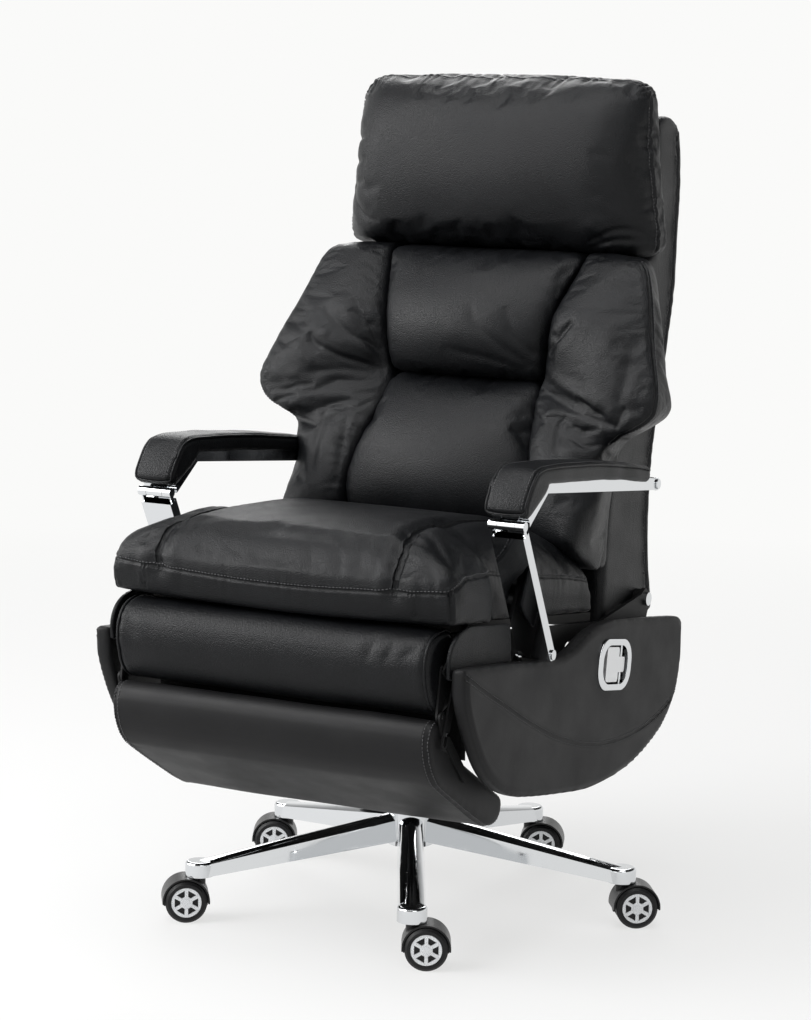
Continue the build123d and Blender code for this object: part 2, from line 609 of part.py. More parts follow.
def arm_rail():
    """A bent chromed bar with a barrel at the rear and the middle hinge knuckle in front."""
    x0, x1 = arm_x()
    rail = thick_line(rail_line(), RAIL_THICKNESS, (x0, x1))
    hinge_room = rod_x(ARM_FRONT_PIVOT, KNUCKLE_RADIUS + RAIL_THICKNESS / 3, (x0, x1))
    rail = rail - hinge_room
    _, middle, _ = knuckle_spans()
    knuckle = rod_x(ARM_FRONT_PIVOT, KNUCKLE_RADIUS, middle)
    tongue = bar(ARM_FRONT_PIVOT, RAIL_BEND, KNUCKLE_RADIUS, middle)
    barrel = rod_x(ARM_REAR_PIVOT, BARREL_RADIUS, (x0, x1))
    rail = rail + knuckle + tongue + barrel
    rail -= rod_x(ARM_FRONT_PIVOT, HINGE_PIN_RADIUS, (x0, x1))
    return rail - rod_x(ARM_REAR_PIVOT, REAR_ROD_RADIUS + RUNNING_CLEARANCE, (x0, x1))


def hinge_pin():
    return rod_x(ARM_FRONT_PIVOT, HINGE_PIN_RADIUS, arm_x())


def arm_post():
    """A flat steel tube from the seat side up to the arm's hinge, with the two outer knuckles."""
    x0, x1 = arm_x()
    body_x = (x0 + POST_INSET, x1 - POST_INSET)
    post = bar(POST_PIVOT, ARM_FRONT_PIVOT, POST_THICKNESS, body_x)
    hollow = bar(POST_PIVOT, ARM_FRONT_PIVOT, POST_THICKNESS - 2 * POST_WALL, (body_x[0] + POST_WALL, body_x[1] - POST_WALL))
    post -= hollow
    post -= rod_x(ARM_FRONT_PIVOT, RAIL_THICKNESS, (x0, x1))
    first, _, last = knuckle_spans()
    for knuckle_x in (first, last):
        inside = (max(knuckle_x[0], body_x[0]), min(knuckle_x[1], body_x[1]))
        post += bar(POST_PIVOT, ARM_FRONT_PIVOT, KNUCKLE_RADIUS, inside) - hollow
        post += rod_x(ARM_FRONT_PIVOT, KNUCKLE_RADIUS, knuckle_x)
    post -= rod_x(ARM_FRONT_PIVOT, HINGE_PIN_RADIUS + RUNNING_CLEARANCE, (x0, x1))
    return post - rod_x(POST_PIVOT, POST_BOLT_RADIUS + RUNNING_CLEARANCE, (x0, x1))


def pad_outline():
    """The arm pad from the side: it lies on the rail and turns down over its front leg."""
    half = RAIL_THICKNESS / 2 + PLATE_GAP / 2
    top = half + PAD_THICKNESS
    front, bend, rear = (Vector(*p) for p in rail_line())
    slope = (rear - bend).normalized()
    up = Vector(-slope.Y, slope.X)
    fall = (bend - front).normalized()
    up_front = Vector(-fall.Y, fall.X)
    reach = (PAD_REAR - rear.X) / slope.X
    end = rear + slope * reach
    nose = front + fall * KNUCKLE_RADIUS
    mitre = (up + up_front).normalized()
    stretch = 1 / mitre.dot(up)
    return [
        Line(nose + up_front * (half + 1), bend + mitre * half * stretch),
        Line(bend + mitre * half * stretch, end + up * half),
        ThreePointArc(end + up * half, end + up * (half + 7) + slope * 5, end + up * (top - 8)),
        ThreePointArc(end + up * (top - 8), (end + bend) / 2 + up * (top + 1), bend + up * top + slope * 25),
        ThreePointArc(bend + up * top + slope * 25, bend + mitre * (top * stretch - 3), bend + up_front * (top - 1) - fall * 22),
        Line(bend + up_front * (top - 1) - fall * 22, nose + up_front * (top - 3)),
        ThreePointArc(nose + up_front * (top - 3), nose + up_front * (top / 2 + 5) - fall * 7, nose + up_front * (half + 1)),
    ]


def arm_pad():
    x0, x1 = arm_x()
    pad = side_plate([edge for edge in pad_outline()], (x0 - PAD_OVERHANG, x1 + PAD_OVERHANG))
    return fillet(pad.edges().group_by(Axis.X)[0] + pad.edges().group_by(Axis.X)[-1], 4)


# ---------------------------------------------------------------- backrest
def front_line():
    """The (y, z) points where the pads meet the back shell, from bottom to top."""
    return [(140.0, BACK_BOTTOM + 5), (150.0, 560.0), (182.0, 700.0), (260.0, HEADREST_BOTTOM - 5),
            (HEADREST_REAR + PAD_GAP, HEADREST_BOTTOM - 0.5), (HEADREST_REAR + PAD_GAP, BACK_TOP - 14)]


def front_y(z):
    """Y of the shell's front face at a height."""
    line = front_line()
    for (y0, z0), (y1, z1) in zip(line, line[1:]):
        if z <= z1:
            return y0 + (y1 - y0) * (z - z0) / (z1 - z0)
    return line[-1][0]


def back_outline():
    """The back shell from the side: hollowed at the lumbar, full behind the shoulders."""
    line = front_line()
    edges = [Line(a, b) for a, b in zip(line, line[1:])]
    edges += [
        ThreePointArc(line[-1], (301, BACK_TOP - 4), (312, BACK_TOP)),
        Line((312, BACK_TOP), (362, BACK_TOP)),
        ThreePointArc((362, BACK_TOP), (381, BACK_TOP - 8), (389, BACK_TOP - 28)),
        ThreePointArc((389, BACK_TOP - 28), (398, 1020), (384, 880)),
        ThreePointArc((384, 880), (330, 690), (318, 560)),
        Line((318, 560), (334, BACK_BOTTOM + 15)),
        ThreePointArc((334, BACK_BOTTOM + 15), (328, BACK_BOTTOM + 3), (314, BACK_BOTTOM)),
        Line((314, BACK_BOTTOM), (146, BACK_BOTTOM)),
        Line((146, BACK_BOTTOM), line[0]),
    ]
    return edges


def frame_upright():
    """The middle line of one upright of the back frame."""
    return [RECLINE_PIVOT, (RECLINE_PIVOT[0] - 20, 620.0), (318.0, 880.0), (336.0, FRAME_TOP)]


def back_frame_solid(grow):
    """The welded back frame; grow makes the channel that it fills in the shell."""
    radius = FRAME_TUBE_RADIUS + grow
    path = FilletPolyline(*[(FRAME_HALF_WIDTH, y, z) for y, z in frame_upright()], radius=60)
    start = Plane(origin=path @ 0, z_dir=path % 0)
    upright = sweep(start * Circle(radius), path=path)
    frame = upright + other_side(upright)
    frame += rod_x(RECLINE_PIVOT, radius + 2, (-SIDE_PLATE_INNER + PLATE_GAP, SIDE_PLATE_INNER - PLATE_GAP))
    frame += rod_x(frame_upright()[-1], radius, (-FRAME_HALF_WIDTH - radius, FRAME_HALF_WIDTH + radius))
    shoulder = (frame_upright()[1][0], ARM_REAR_PIVOT[1])
    frame += rod_x(shoulder, radius, (-FRAME_HALF_WIDTH, FRAME_HALF_WIDTH))
    for sign in (1, -1):
        bracket_x = sorted((sign * (FRAME_HALF_WIDTH - 4 - grow), sign * (FRAME_HALF_WIDTH + 4 + grow)))
        frame += bar(shoulder, ARM_REAR_PIVOT, 2 * radius, bracket_x)
    return frame


def arm_rods():
    """The rods that stand out of the back frame and carry the arms' rear barrels."""
    flange_x = (BACK_HALF_WIDTH + PLATE_GAP / 5, BACK_HALF_WIDTH + 4)
    rod = rod_x(ARM_REAR_PIVOT, REAR_ROD_RADIUS, (FRAME_HALF_WIDTH - 12, ARM_INNER + ARM_WIDTH + 1))
    rod += rod_x(ARM_REAR_PIVOT, REAR_ROD_RADIUS + 6, flange_x)
    rod += rod_x(ARM_REAR_PIVOT, REAR_ROD_RADIUS + 3, (flange_x[0], ARM_INNER - KNUCKLE_GAP))
    rod += rod_x(ARM_REAR_PIVOT, BARREL_RADIUS - 2, span(ARM_INNER + ARM_WIDTH + KNUCKLE_GAP, 2))
    return rod


def back_frame():
    frame = back_frame_solid(0)
    for sign in (1, -1):
        end = sign * (SIDE_PLATE_INNER - PLATE_GAP)
        bore = sorted((end, end - sign * 30))
        frame -= rod_x(RECLINE_PIVOT, RECLINE_BOLT_RADIUS + RUNNING_CLEARANCE, bore)
    reach = 2 * FRAME_HALF_WIDTH
    return frame - rod_x(ARM_REAR_PIVOT, REAR_ROD_RADIUS + RUNNING_CLEARANCE, (-reach, reach))


def back_shell():
    """The foam and leather body of the backrest, moulded round its frame."""
    shell = side_plate(back_outline(), (-BACK_HALF_WIDTH, BACK_HALF_WIDTH))
    shell -= back_frame_solid(PLATE_GAP / 2)
    reach = 2 * BACK_HALF_WIDTH
    return shell - rod_x(ARM_REAR_PIVOT, REAR_ROD_RADIUS + PLATE_GAP / 2, (-reach, reach))


def level(z):
    """The plane square to Z: local x is X and local y is Y."""
    return Plane(origin=(0, 0, z), x_dir=(1, 0, 0), z_dir=(0, 0, 1))


def seated(pad):
    """The pad trimmed to lie on the shell's front with the pad gap between them."""
    shell = side_plate(back_outline(), (-BACK_HALF_WIDTH - PAD_GAP, BACK_HALF_WIDTH + PAD_GAP))
    return pad - Pos(0, -PAD_GAP / 2, 0) * shell


def across_back(x):
    """A place across the pads, widened or narrowed with the back."""
    return x * BACK_HALF_WIDTH / PADS_DRAWN_AT


def pad_section(z, left, right, front_left, front_right, bulge):
    """A pad cut at a height: its front bows out and its back reaches into the shell."""
    rear = front_y(z) + PAD_SEAT_GAP
    left, right = across_back(left), across_back(right)
    corners = [(left, front_left), (right, front_right), (right, rear), (left, rear)]
    return level(z) * bulged_face(corners, [bulge, 1.5, 0.05, 1.5])


def lower_back_pad():
    stations = [(560, 148, 66, 12), (600, 146, 50, 26), (655, 136, 56, 32), (712, 123, 92, 28),
                (LUMBAR_SEAM_Z - 4, 120, 152, 8)]
    return seated(loft([pad_section(z, -x, x, y, y, bulge) for z, x, y, bulge in stations]))


def upper_back_pad():
    stations = [(LUMBAR_SEAM_Z + 1, 120, 158, 8), (800, 125, 138, 24), (860, 133, 140, 30), (905, 146, 172, 26),
                (HEADREST_BOTTOM - 2, 158, 218, 8)]
    return seated(loft([pad_section(z, -x, x, y, y, bulge) for z, x, y, bulge in stations]))


def bolster():
    """The right lower bolster beside the lumbar pad, resting low against the seat's rear."""
    stations = [(512, 152, 236, 118, 118, 4), (545, 153, 240, 84, 80, 12), (590, 152, 241, 46, 44, 18),
                (640, 144, 241, 56, 70, 18), (690, 134, 238, 90, 116, 10)]
    body = loft([pad_section(z, x0, x1, y0, y1, bulge) for z, x0, x1, y0, y1, bulge in stations])
    room = rod_x(ARM_REAR_PIVOT, FRAME_TUBE_RADIUS + PAD_GAP, (FRAME_HALF_WIDTH - 10, 2 * FRAME_HALF_WIDTH))
    return seated(body) - room


def wing_section(x, bottom, top, front_bottom, front_top, rear_bottom, rear_top, bulge):
    """A wing cut across X as a bowed lens."""
    corners = [(front_bottom, bottom), (rear_bottom, bottom), (rear_top, top), (front_top, top)]
    return Plane.YZ.offset(across_back(x)) * bulged_face(corners, [3, 2, 3, bulge])


def wing():
    """The right shoulder wing: it flares out to a tip above the arm."""
    stations = [
        (166, 766, 934, 152, 208, 214, 268, 10), (200, 742, 938, 118, 198, 206, 268, 22),
        (235, 712, 937, 100, 196, 190, 262, 26), (270, 702, 922, 92, 186, 160, 246, 24),
        (305, 704, 872, 88, 160, 146, 216, 18), (332, 716, 812, 92, 128, 138, 174, 10),
        (344, 738, 776, 104, 116, 128, 142, 3)]
    return seated(loft([wing_section(*station) for station in stations]))


def headrest_section(z, half_width, front, bulge, side):
    rear = HEADREST_REAR + PAD_SEAT_GAP / 2
    half_width = across_back(half_width)
    corners = [(-half_width, front), (half_width, front), (half_width - 6, rear), (-half_width + 6, rear)]
    return level(z) * bulged_face(corners, [bulge, side, 0.3, side])


def headrest():
    front = HEADREST_FRONT
    stations = [
        (HEADREST_BOTTOM, 256, front + 52, 6, 2), (HEADREST_BOTTOM + 22, 262, front + 20, 24, 8),
        (HEADREST_BOTTOM + 80, 252, front, 34, 12), (HEADREST_BOTTOM + 150, 246, front, 36, 12),
        (HEADREST_TOP - 45, 240, front + 16, 30, 8), (HEADREST_TOP - 12, 228, front + 42, 14, 4),
        (HEADREST_TOP, 214, front + 64, 3, 1)]
    pad = loft([headrest_section(*station) for station in stations])
    behind = box((-2 * BACK_HALF_WIDTH, 2 * BACK_HALF_WIDTH), span(HEADREST_REAR + PAD_GAP / 2, 2 * PAD_SEAT_GAP),
                 (BACK_BOTTOM, 2 * BACK_TOP))
    return pad - behind


# ---------------------------------------------------------------- footrest
def roll_face(shrink):
    """The roll from the side, a D with a full front; shrink draws it in at the ends."""
    y0, y1, z0, z1 = -421 + shrink, -345, 384 + shrink, 491 - shrink
    middle = (z0 + z1) / 2
    return make_face([
        ThreePointArc((y1, z1 - 14), (y1 - 8, z1 - 4), (y1 - 22, z1)),
        ThreePointArc((y1 - 22, z1), (y0 + 12, z1 - 14), (y0, middle + 8)),
        ThreePointArc((y0, middle + 8), (y0 + 9, z0 + 18), (y0 + 34, z0)),
        ThreePointArc((y0 + 34, z0), (y1 - 12, z0 + 3), (y1, z0 + 16)),
        Line((y1, z0 + 16), (y1, z1 - 14)),
    ])


def footrest_roll():
    """The upper footrest roll, ruled between sections so that its ends draw in."""
    stations = ((-ROLL_HALF_WIDTH, 8), (-ROLL_HALF_WIDTH + 7, 0), (ROLL_HALF_WIDTH - 7, 0), (ROLL_HALF_WIDTH, 8))
    return loft([Plane.YZ.offset(x) * roll_face(shrink) for x, shrink in stations], ruled=True)


def roll_board():
    """The plywood that the roll is upholstered on; its ends meet the swing plates."""
    return box((-ROLL_HALF_WIDTH - PLATE_GAP / 2, ROLL_HALF_WIDTH + PLATE_GAP / 2), (-345 + PAD_GAP / 2, -334), (392, 480))


def swing_x():
    return span(ROLL_HALF_WIDTH + PLATE_GAP, PLATE_THICKNESS)


def panel_plate_x():
    return span(SIDE_PLATE_INNER + SIDE_PLATE_THICKNESS, PLATE_THICKNESS)


def link_x():
    return span(panel_plate_x()[1] + PLATE_GAP, PLATE_THICKNESS)


def swing_plate():
    """The right end plate of the roll, between the seat horn's pivot and the panel's."""
    plate = bar(FLIP_PIVOT, FOOT_PIVOT, 2 * PLATE_EYE, swing_x())
    arm = bar(FOOT_PIVOT, (-339.5, FOOT_PIVOT[1]), 2 * PLATE_EYE - 3, swing_x())
    plate += arm
    for centre in (FLIP_PIVOT, FOOT_PIVOT):
        plate -= rod_x(centre, FOOT_PIN_RADIUS + RUNNING_CLEARANCE, swing_x())
    return plate


def panel_face(shrink):
    """The lower panel from the side: a rolled top edge, a rounded shin face and a blunt heel."""
    s = shrink
    return make_face([
        ThreePointArc((-376 - s, 352), (-397, 373 - s), (-419 + s, 351)),
        ThreePointArc((-419 + s, 351), (-408 + s, 314 + s), (-375, 287 + s)),
        Line((-375, 287 + s), (-232, 202 + s)),
        ThreePointArc((-232, 202 + s), (-206 - s, 206 + s), (-198 - s, 232)),
        Line((-198 - s, 232), (-345, 322 - s)),
        ThreePointArc((-345, 322 - s), (-367 - s, 333), (-376 - s, 352)),
    ])


def footrest_panel():
    stations = ((-PANEL_HALF_WIDTH, 6), (-PANEL_HALF_WIDTH + 8, 0), (PANEL_HALF_WIDTH - 8, 0), (PANEL_HALF_WIDTH, 6))
    return loft([Plane.YZ.offset(x) * panel_face(shrink) for x, shrink in stations], ruled=True)


def panel_plate():
    """The right end bracket of the panel: the flip pivot, the link's pin and a leg along the panel."""
    plate = bar(FLIP_PIVOT, LINK_PIN, 2 * PLATE_EYE, panel_plate_x())
    plate += bar(LINK_PIN, (-320, 285), 2 * PLATE_EYE, panel_plate_x())
    return plate - rod_x(FLIP_PIVOT, FOOT_PIN_RADIUS + RUNNING_CLEARANCE, panel_plate_x())


def link_direction():
    return (Vector(*LINK_PIN) - Vector(*LINK_PIVOT)).normalized()


def flip_link():
    """The right control link: its slot rides on the panel's pin and turns the panel over."""
    far = Vector(*LINK_PIN) + link_direction() * LINK_SLOT
    link = bar(LINK_PIVOT, (far.X, far.Y), 2 * PLATE_EYE, link_x())
    slot = bar(LINK_PIN, (far.X, far.Y), 2 * (FOOT_PIN_RADIUS + PLATE_GAP), link_x())
    return link - slot - rod_x(LINK_PIVOT, FOOT_PIN_RADIUS + RUNNING_CLEARANCE, link_x())


def seat_pins():
    """The pins and bolts that the seat frame holds, right side."""
    plate_in, plate_out = span(SIDE_PLATE_INNER, SIDE_PLATE_THICKNESS)
    arm_out = ARM_INNER + ARM_WIDTH
    post_bolt = rod_x(POST_PIVOT, POST_BOLT_RADIUS, (plate_in, arm_out - POST_INSET + PLATE_GAP))
    post_bolt += rod_x(POST_PIVOT, POST_BOLT_RADIUS + 3, span(arm_out - POST_INSET + PLATE_GAP / 2, 2.5))
    post_bolt += rod_x(POST_PIVOT, POST_BOLT_RADIUS + 3, (plate_out + 0.05, ARM_INNER + POST_INSET - PLATE_GAP / 2))
    recline_bolt = rod_x(RECLINE_PIVOT, RECLINE_BOLT_RADIUS, (plate_in - PLATE_GAP - 28, plate_out + 2))
    recline_bolt += rod_x(RECLINE_PIVOT, RECLINE_BOLT_RADIUS + 4, span(plate_out + 0.05, 5))
    foot_pin = rod_x(FOOT_PIVOT, FOOT_PIN_RADIUS, (swing_x()[0], panel_plate_x()[1]))
    link_pin = rod_x(LINK_PIVOT, FOOT_PIN_RADIUS, (panel_plate_x()[0], link_x()[1] + 2))
    return Compound(children=[*post_bolt.solids(), *recline_bolt.solids(), *foot_pin.solids(), *link_pin.solids()])


def panel_pins():
    """The flip pivot's pin and the pin that the link rides on, right side."""
    flip = rod_x(FLIP_PIVOT, FOOT_PIN_RADIUS, (swing_x()[0], panel_plate_x()[1]))
    ride = rod_x(LINK_PIN, FOOT_PIN_RADIUS, (panel_plate_x()[1] + 0.05, link_x()[1] + 2))
    return Compound(children=[*flip.solids(), *ride.solids()])


# ---------------------------------------------------------------- all nodes
def build_nodes():
    hole, _ = cup_hole()
    nodes = {
        "star_base": star_base(),
        "column_tube": column_tube(),
        "column_piston": column_piston(),
        "tilt_housing": tilt_housing(),
        "height_lever": height_lever(),
        "seat_frame": seat_frame(),
        "seat_board": seat_board(),
        "seat_cushion": seat_cushion(),
        "seat_apron": seat_apron(),
        "seat_pins": both_sides(seat_pins()),
        "skirt_right": skirt() - hole,
        "skirt_left": other_side(skirt()),
        "handle_cup": handle_cup(),
        "handle_pin": handle_pin(HANDLE_PIN_RADIUS),
        "recline_handle": recline_handle(),
        "arm_rods": both_sides(arm_rods()),
        "back_frame": back_frame(),
        "back_shell": back_shell(),
        "lower_back_pad": lower_back_pad(),
        "upper_back_pad": upper_back_pad(),
        "headrest": headrest(),
        "footrest_roll": footrest_roll(),
        "roll_board": roll_board(),
        "swing_plates": both_sides(swing_plate()),
        "footrest_panel": footrest_panel(),
        "panel_plates": both_sides(panel_plate()),
        "panel_pins": both_sides(panel_pins()),
        "flip_links": both_sides(flip_link()),
    }
    sided = {
        "arm_rail": arm_rail(), "arm_pad": arm_pad(), "hinge_pin": hinge_pin(), "arm_post": arm_post(),
        "wing": wing(), "bolster": bolster(),
    }
    for name, shape in sided.items():
        nodes[f"{name}_right"] = shape
        nodes[f"{name}_left"] = other_side(shape)
    for i in range(LEG_COUNT):
        nodes.update(caster_parts(i))
    return nodes


os.makedirs("parts", exist_ok=True)
for node_name, node_shape in build_nodes().items():
    export_step(node_shape, f"parts/{node_name}.step")
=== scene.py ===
"""Upholstery, finishes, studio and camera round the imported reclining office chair."""

import math

import bmesh
import bpy
import numpy as np
from bpy.props import FloatProperty, FloatVectorProperty, PointerProperty
from mathutils import Matrix, Vector, noise
from mathutils.bvhtree import BVHTree
from mathutils.kdtree import KDTree


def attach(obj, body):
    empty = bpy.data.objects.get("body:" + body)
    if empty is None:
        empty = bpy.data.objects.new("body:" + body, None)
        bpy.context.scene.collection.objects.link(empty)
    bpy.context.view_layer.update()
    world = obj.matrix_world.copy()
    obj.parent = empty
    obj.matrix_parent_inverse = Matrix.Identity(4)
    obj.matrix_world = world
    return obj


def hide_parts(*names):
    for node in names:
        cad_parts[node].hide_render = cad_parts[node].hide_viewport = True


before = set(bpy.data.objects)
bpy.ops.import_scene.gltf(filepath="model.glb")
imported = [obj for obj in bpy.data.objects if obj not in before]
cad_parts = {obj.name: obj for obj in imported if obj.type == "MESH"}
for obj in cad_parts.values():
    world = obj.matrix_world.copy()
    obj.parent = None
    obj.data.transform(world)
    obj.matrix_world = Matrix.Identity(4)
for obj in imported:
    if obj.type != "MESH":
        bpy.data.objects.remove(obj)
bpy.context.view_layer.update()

bl_info = {
    "name": "Reclining office chair",
    "version": (1, 0, 0),
    "blender": (4, 5, 0),
    "location": "View3D > Sidebar > Chair",
    "description": "Upholstery, chrome and studio round the packed reclining office chair",
    "category": "Add Mesh",
}

# The frame's own measures, in metres: the chair faces -Y and its seat falls to the rear
SEAT_PITCH = math.tan(math.radians(6.9))
SEAT_FRONT = -0.389
SEAT_BOTTOM_AT_FRONT = 0.501
ARM_INNER = 0.249
ARM_OUTER = 0.302
SKIRT_INNER = 0.264
SKIRT_OUTER = 0.288
BACK_HALF_WIDTH = 0.232
HEADREST_REAR = 0.295


def hex_colour(code):
    """An sRGB hex value as linear red, green and blue."""
    parts = [int(code[i:i + 2], 16) / 255.0 for i in (1, 3, 5)]
    return tuple(c / 12.92 if c <= 0.04045 else ((c + 0.055) / 1.055) ** 2.4 for c in parts)


# ---------------------------------------------------------------- what a user would change
class ChairSettings(bpy.types.PropertyGroup):
    leather_colour: FloatVectorProperty(
        name="Leather", description="Colour of the pebbled polyurethane leather", subtype="COLOR",
        default=hex_colour("#101113"), min=0.0, max=1.0)
    skirt_colour: FloatVectorProperty(
        name="Skirt leather", description="Colour of the smoother leather on the skirts and lower footrest",
        subtype="COLOR", default=hex_colour("#19191a"), min=0.0, max=1.0)
    thread_colour: FloatVectorProperty(
        name="Thread", description="Colour of the polyester sewing thread", subtype="COLOR",
        default=hex_colour("#3a3a3c"), min=0.0, max=1.0)
    grain_size: FloatProperty(
        name="Leather grain", description="Width of one pebble of the leather's embossing", unit="LENGTH",
        default=0.0015, min=0.0005, max=0.01)
    stitch_pitch: FloatProperty(
        name="Stitch pitch", description="Length of one stitch and its gap", unit="LENGTH",
        default=0.0052, min=0.003, max=0.02)
    piping_radius: FloatProperty(
        name="Piping radius", description="Radius of the welt sewn into an edge", unit="LENGTH",
        default=0.0026, min=0.001, max=0.006)
    voxel_size: FloatProperty(
        name="Voxel size", description="Grid of the remeshed padded pieces", unit="LENGTH",
        default=0.005, min=0.003, max=0.01)
    puff: FloatProperty(
        name="Puff", description="Air pressure that swells the padded pieces in their simulation",
        default=4.0, min=0.0, max=12.0)


def settings():
    """The values that a user would change."""
    return bpy.context.scene.chair_settings


# ---------------------------------------------------------------- materials
def add(tree, kind, values=None, **sockets):
    """Adds a node with its settings, and sets or links each named socket."""
    item = tree.nodes.new(kind)
    for key, value in (values or {}).items():
        setattr(item, key, value)
    for key, value in sockets.items():
        socket = item.inputs[int(key[2:])] if key.startswith("in") and key[2:].isdigit() else item.inputs[
            key.replace("_", " ")]
        if isinstance(value, bpy.types.NodeSocket):
            tree.links.new(value, socket)
        else:
            socket.default_value = value
    return item


def new_material(name, colour, roughness, metallic=0.0, **more):
    """A named material with its Principled shader and Object coordinates."""
    material = bpy.data.materials.new(name)
    material.use_nodes = True
    tree = material.node_tree
    shader = tree.nodes["Principled BSDF"]
    shader.inputs["Base Color"].default_value = (*colour, 1.0)
    shader.inputs["Roughness"].default_value = roughness
    shader.inputs["Metallic"].default_value = metallic
    for key, value in more.items():
        shader.inputs[key.replace("_", " ")].default_value = value
    coords = tree.nodes.new("ShaderNodeTexCoord").outputs["Object"]
    return material, tree, shader, coords


# finished leather reflects less than bare plastic, so that its shadows stay black under white surroundings
LEATHER_SHEEN = 0.18


def pebbled(name, colour, grain, roughness, depth):
    """Polyurethane leather, embossed with a pebble grain: its colour is painted lighter on each pebble's
    middle as a painted highlight and darker in the hollows between pebbles as painted shade, and wide low
    waves in the foam break the sheen."""
    material, tree, shader, coords = new_material(name, colour, roughness, Specular_IOR_Level=LEATHER_SHEEN)
    cells = add(tree, "ShaderNodeTexVoronoi", {"feature": "SMOOTH_F1"}, Vector=coords,
                Scale=1.0 / grain, Smoothness=0.55, Randomness=0.9)
    fine = add(tree, "ShaderNodeTexNoise", Vector=coords, Scale=0.6 / grain, Detail=3.0)
    broad = add(tree, "ShaderNodeTexNoise", Vector=coords, Scale=14.0, Detail=4.0, Roughness=0.55)
    tone = add(tree, "ShaderNodeMapRange", Value=broad.outputs["Fac"], From_Min=0.3, From_Max=0.7,
               To_Min=0.82, To_Max=1.16)
    # painted highlight and painted shade: the colour is raised on each pebble's middle and lowered in the
    # hollows between pebbles
    painted_pebble_light_and_shade = add(tree, "ShaderNodeMapRange", Value=cells.outputs["Distance"], From_Min=0.0, From_Max=0.8,
                 To_Min=1.12, To_Max=0.72)
    both = add(tree, "ShaderNodeMath", {"operation": "MULTIPLY"}, in0=tone.outputs[0], in1=painted_pebble_light_and_shade.outputs[0])
    tint = add(tree, "ShaderNodeVectorMath", {"operation": "SCALE"}, in0=colour)
    tree.links.new(both.outputs[0], tint.inputs["Scale"])
    tree.links.new(tint.outputs[0], shader.inputs["Base Color"])
    gloss = add(tree, "ShaderNodeMapRange", Value=broad.outputs["Fac"], From_Min=0.3, From_Max=0.7,
                To_Min=roughness - 0.06, To_Max=roughness + 0.07)
    tree.links.new(gloss.outputs[0], shader.inputs["Roughness"])
    low = add(tree, "ShaderNodeBump", {"invert": True}, Height=cells.outputs["Distance"],
              Distance=grain * depth, Strength=0.7)
    top = add(tree, "ShaderNodeBump", Height=fine.outputs["Fac"], Distance=grain * depth * 0.6, Strength=0.5,
              Normal=low.outputs["Normal"])
    tree.links.new(top.outputs["Normal"], shader.inputs["Normal"])
    return material


def make_leather():
    """Soft pebbled cover of the cushions: near black, with a broad low sheen on every swell."""
    values = settings()
    return pebbled("pebbled polyurethane leather", tuple(values.leather_colour), values.grain_size,
                   roughness=0.38, depth=0.55)


def make_skirt_leather():
    """Finer, flatter leather drawn tight over the boards: a little greyer and duller."""
    values = settings()
    return pebbled("smooth polyurethane leather", tuple(values.skirt_colour), values.grain_size * 0.7,
                   roughness=0.5, depth=0.16)


# a real twist repeats every 0.6 mm, drawn at 4.75 mm along an axis so that it shows
THREAD_TWIST = 0.00475
# length along an axis in which a diagonal wave texture of scale 1 repeats
WAVE_LENGTH = 0.6283


def make_thread():
    """Twisted polyester thread: a little greyer than the leather, with its twist as faint bands."""
    colour = tuple(settings().thread_colour)
    material, tree, shader, coords = new_material("twisted polyester thread", colour, roughness=0.5)
    bands = add(tree, "ShaderNodeTexWave", {"wave_type": "BANDS", "bands_direction": "DIAGONAL"},
                Vector=coords, Scale=WAVE_LENGTH / THREAD_TWIST, Distortion=1.0)
    bump = add(tree, "ShaderNodeBump", Height=bands.outputs["Fac"], Distance=0.0002, Strength=0.6)
    tree.links.new(bump.outputs["Normal"], shader.inputs["Normal"])
    return material


CHROME_COLOUR = "#d8dadc"
CHROME_ROUGHNESS = 0.06
# how much rougher or smoother than that the polish is from place to place
POLISH_SPREAD = 0.03


def make_chrome():
    """Polished steel with a chromium plate: a mirror with faint waves from the buffing wheel."""
    material, tree, shader, coords = new_material(
        "chromium-plated steel", hex_colour(CHROME_COLOUR), roughness=CHROME_ROUGHNESS, metallic=1.0)
    haze = add(tree, "ShaderNodeTexNoise", Vector=coords, Scale=60.0, Detail=2.0)
    rough = add(tree, "ShaderNodeMapRange", Value=haze.outputs["Fac"], From_Min=0.3, From_Max=0.7,
                To_Min=CHROME_ROUGHNESS - POLISH_SPREAD, To_Max=CHROME_ROUGHNESS + POLISH_SPREAD)
    tree.links.new(rough.outputs[0], shader.inputs["Roughness"])
    wave = add(tree, "ShaderNodeTexNoise", Vector=coords, Scale=22.0, Detail=1.0)
    bump = add(tree, "ShaderNodeBump", Height=wave.outputs["Fac"], Distance=0.0006, Strength=0.25)
    tree.links.new(bump.outputs["Normal"], shader.inputs["Normal"])
    return material


def grained(name, colour, roughness, grain, metallic=0.0, depth=0.25, **more):
    """A moulded or painted surface with a fine orange-peel texture and small changes in gloss."""
    material, tree, shader, coords = new_material(name, colour, roughness, metallic=metallic, **more)
    speck = add(tree, "ShaderNodeTexNoise", Vector=coords, Scale=1.0 / grain, Detail=2.0)
    rough = add(tree, "ShaderNodeMapRange", Value=speck.outputs["Fac"], From_Min=0.3, From_Max=0.7,
                To_Min=max(roughness - 0.06, 0.02), To_Max=roughness + 0.06)
    tree.links.new(rough.outputs[0], shader.inputs["Roughness"])
    bump = add(tree, "ShaderNodeBump", Height=speck.outputs["Fac"], Distance=grain * depth, Strength=0.3)
    tree.links.new(bump.outputs["Normal"], shader.inputs["Normal"])
    return material


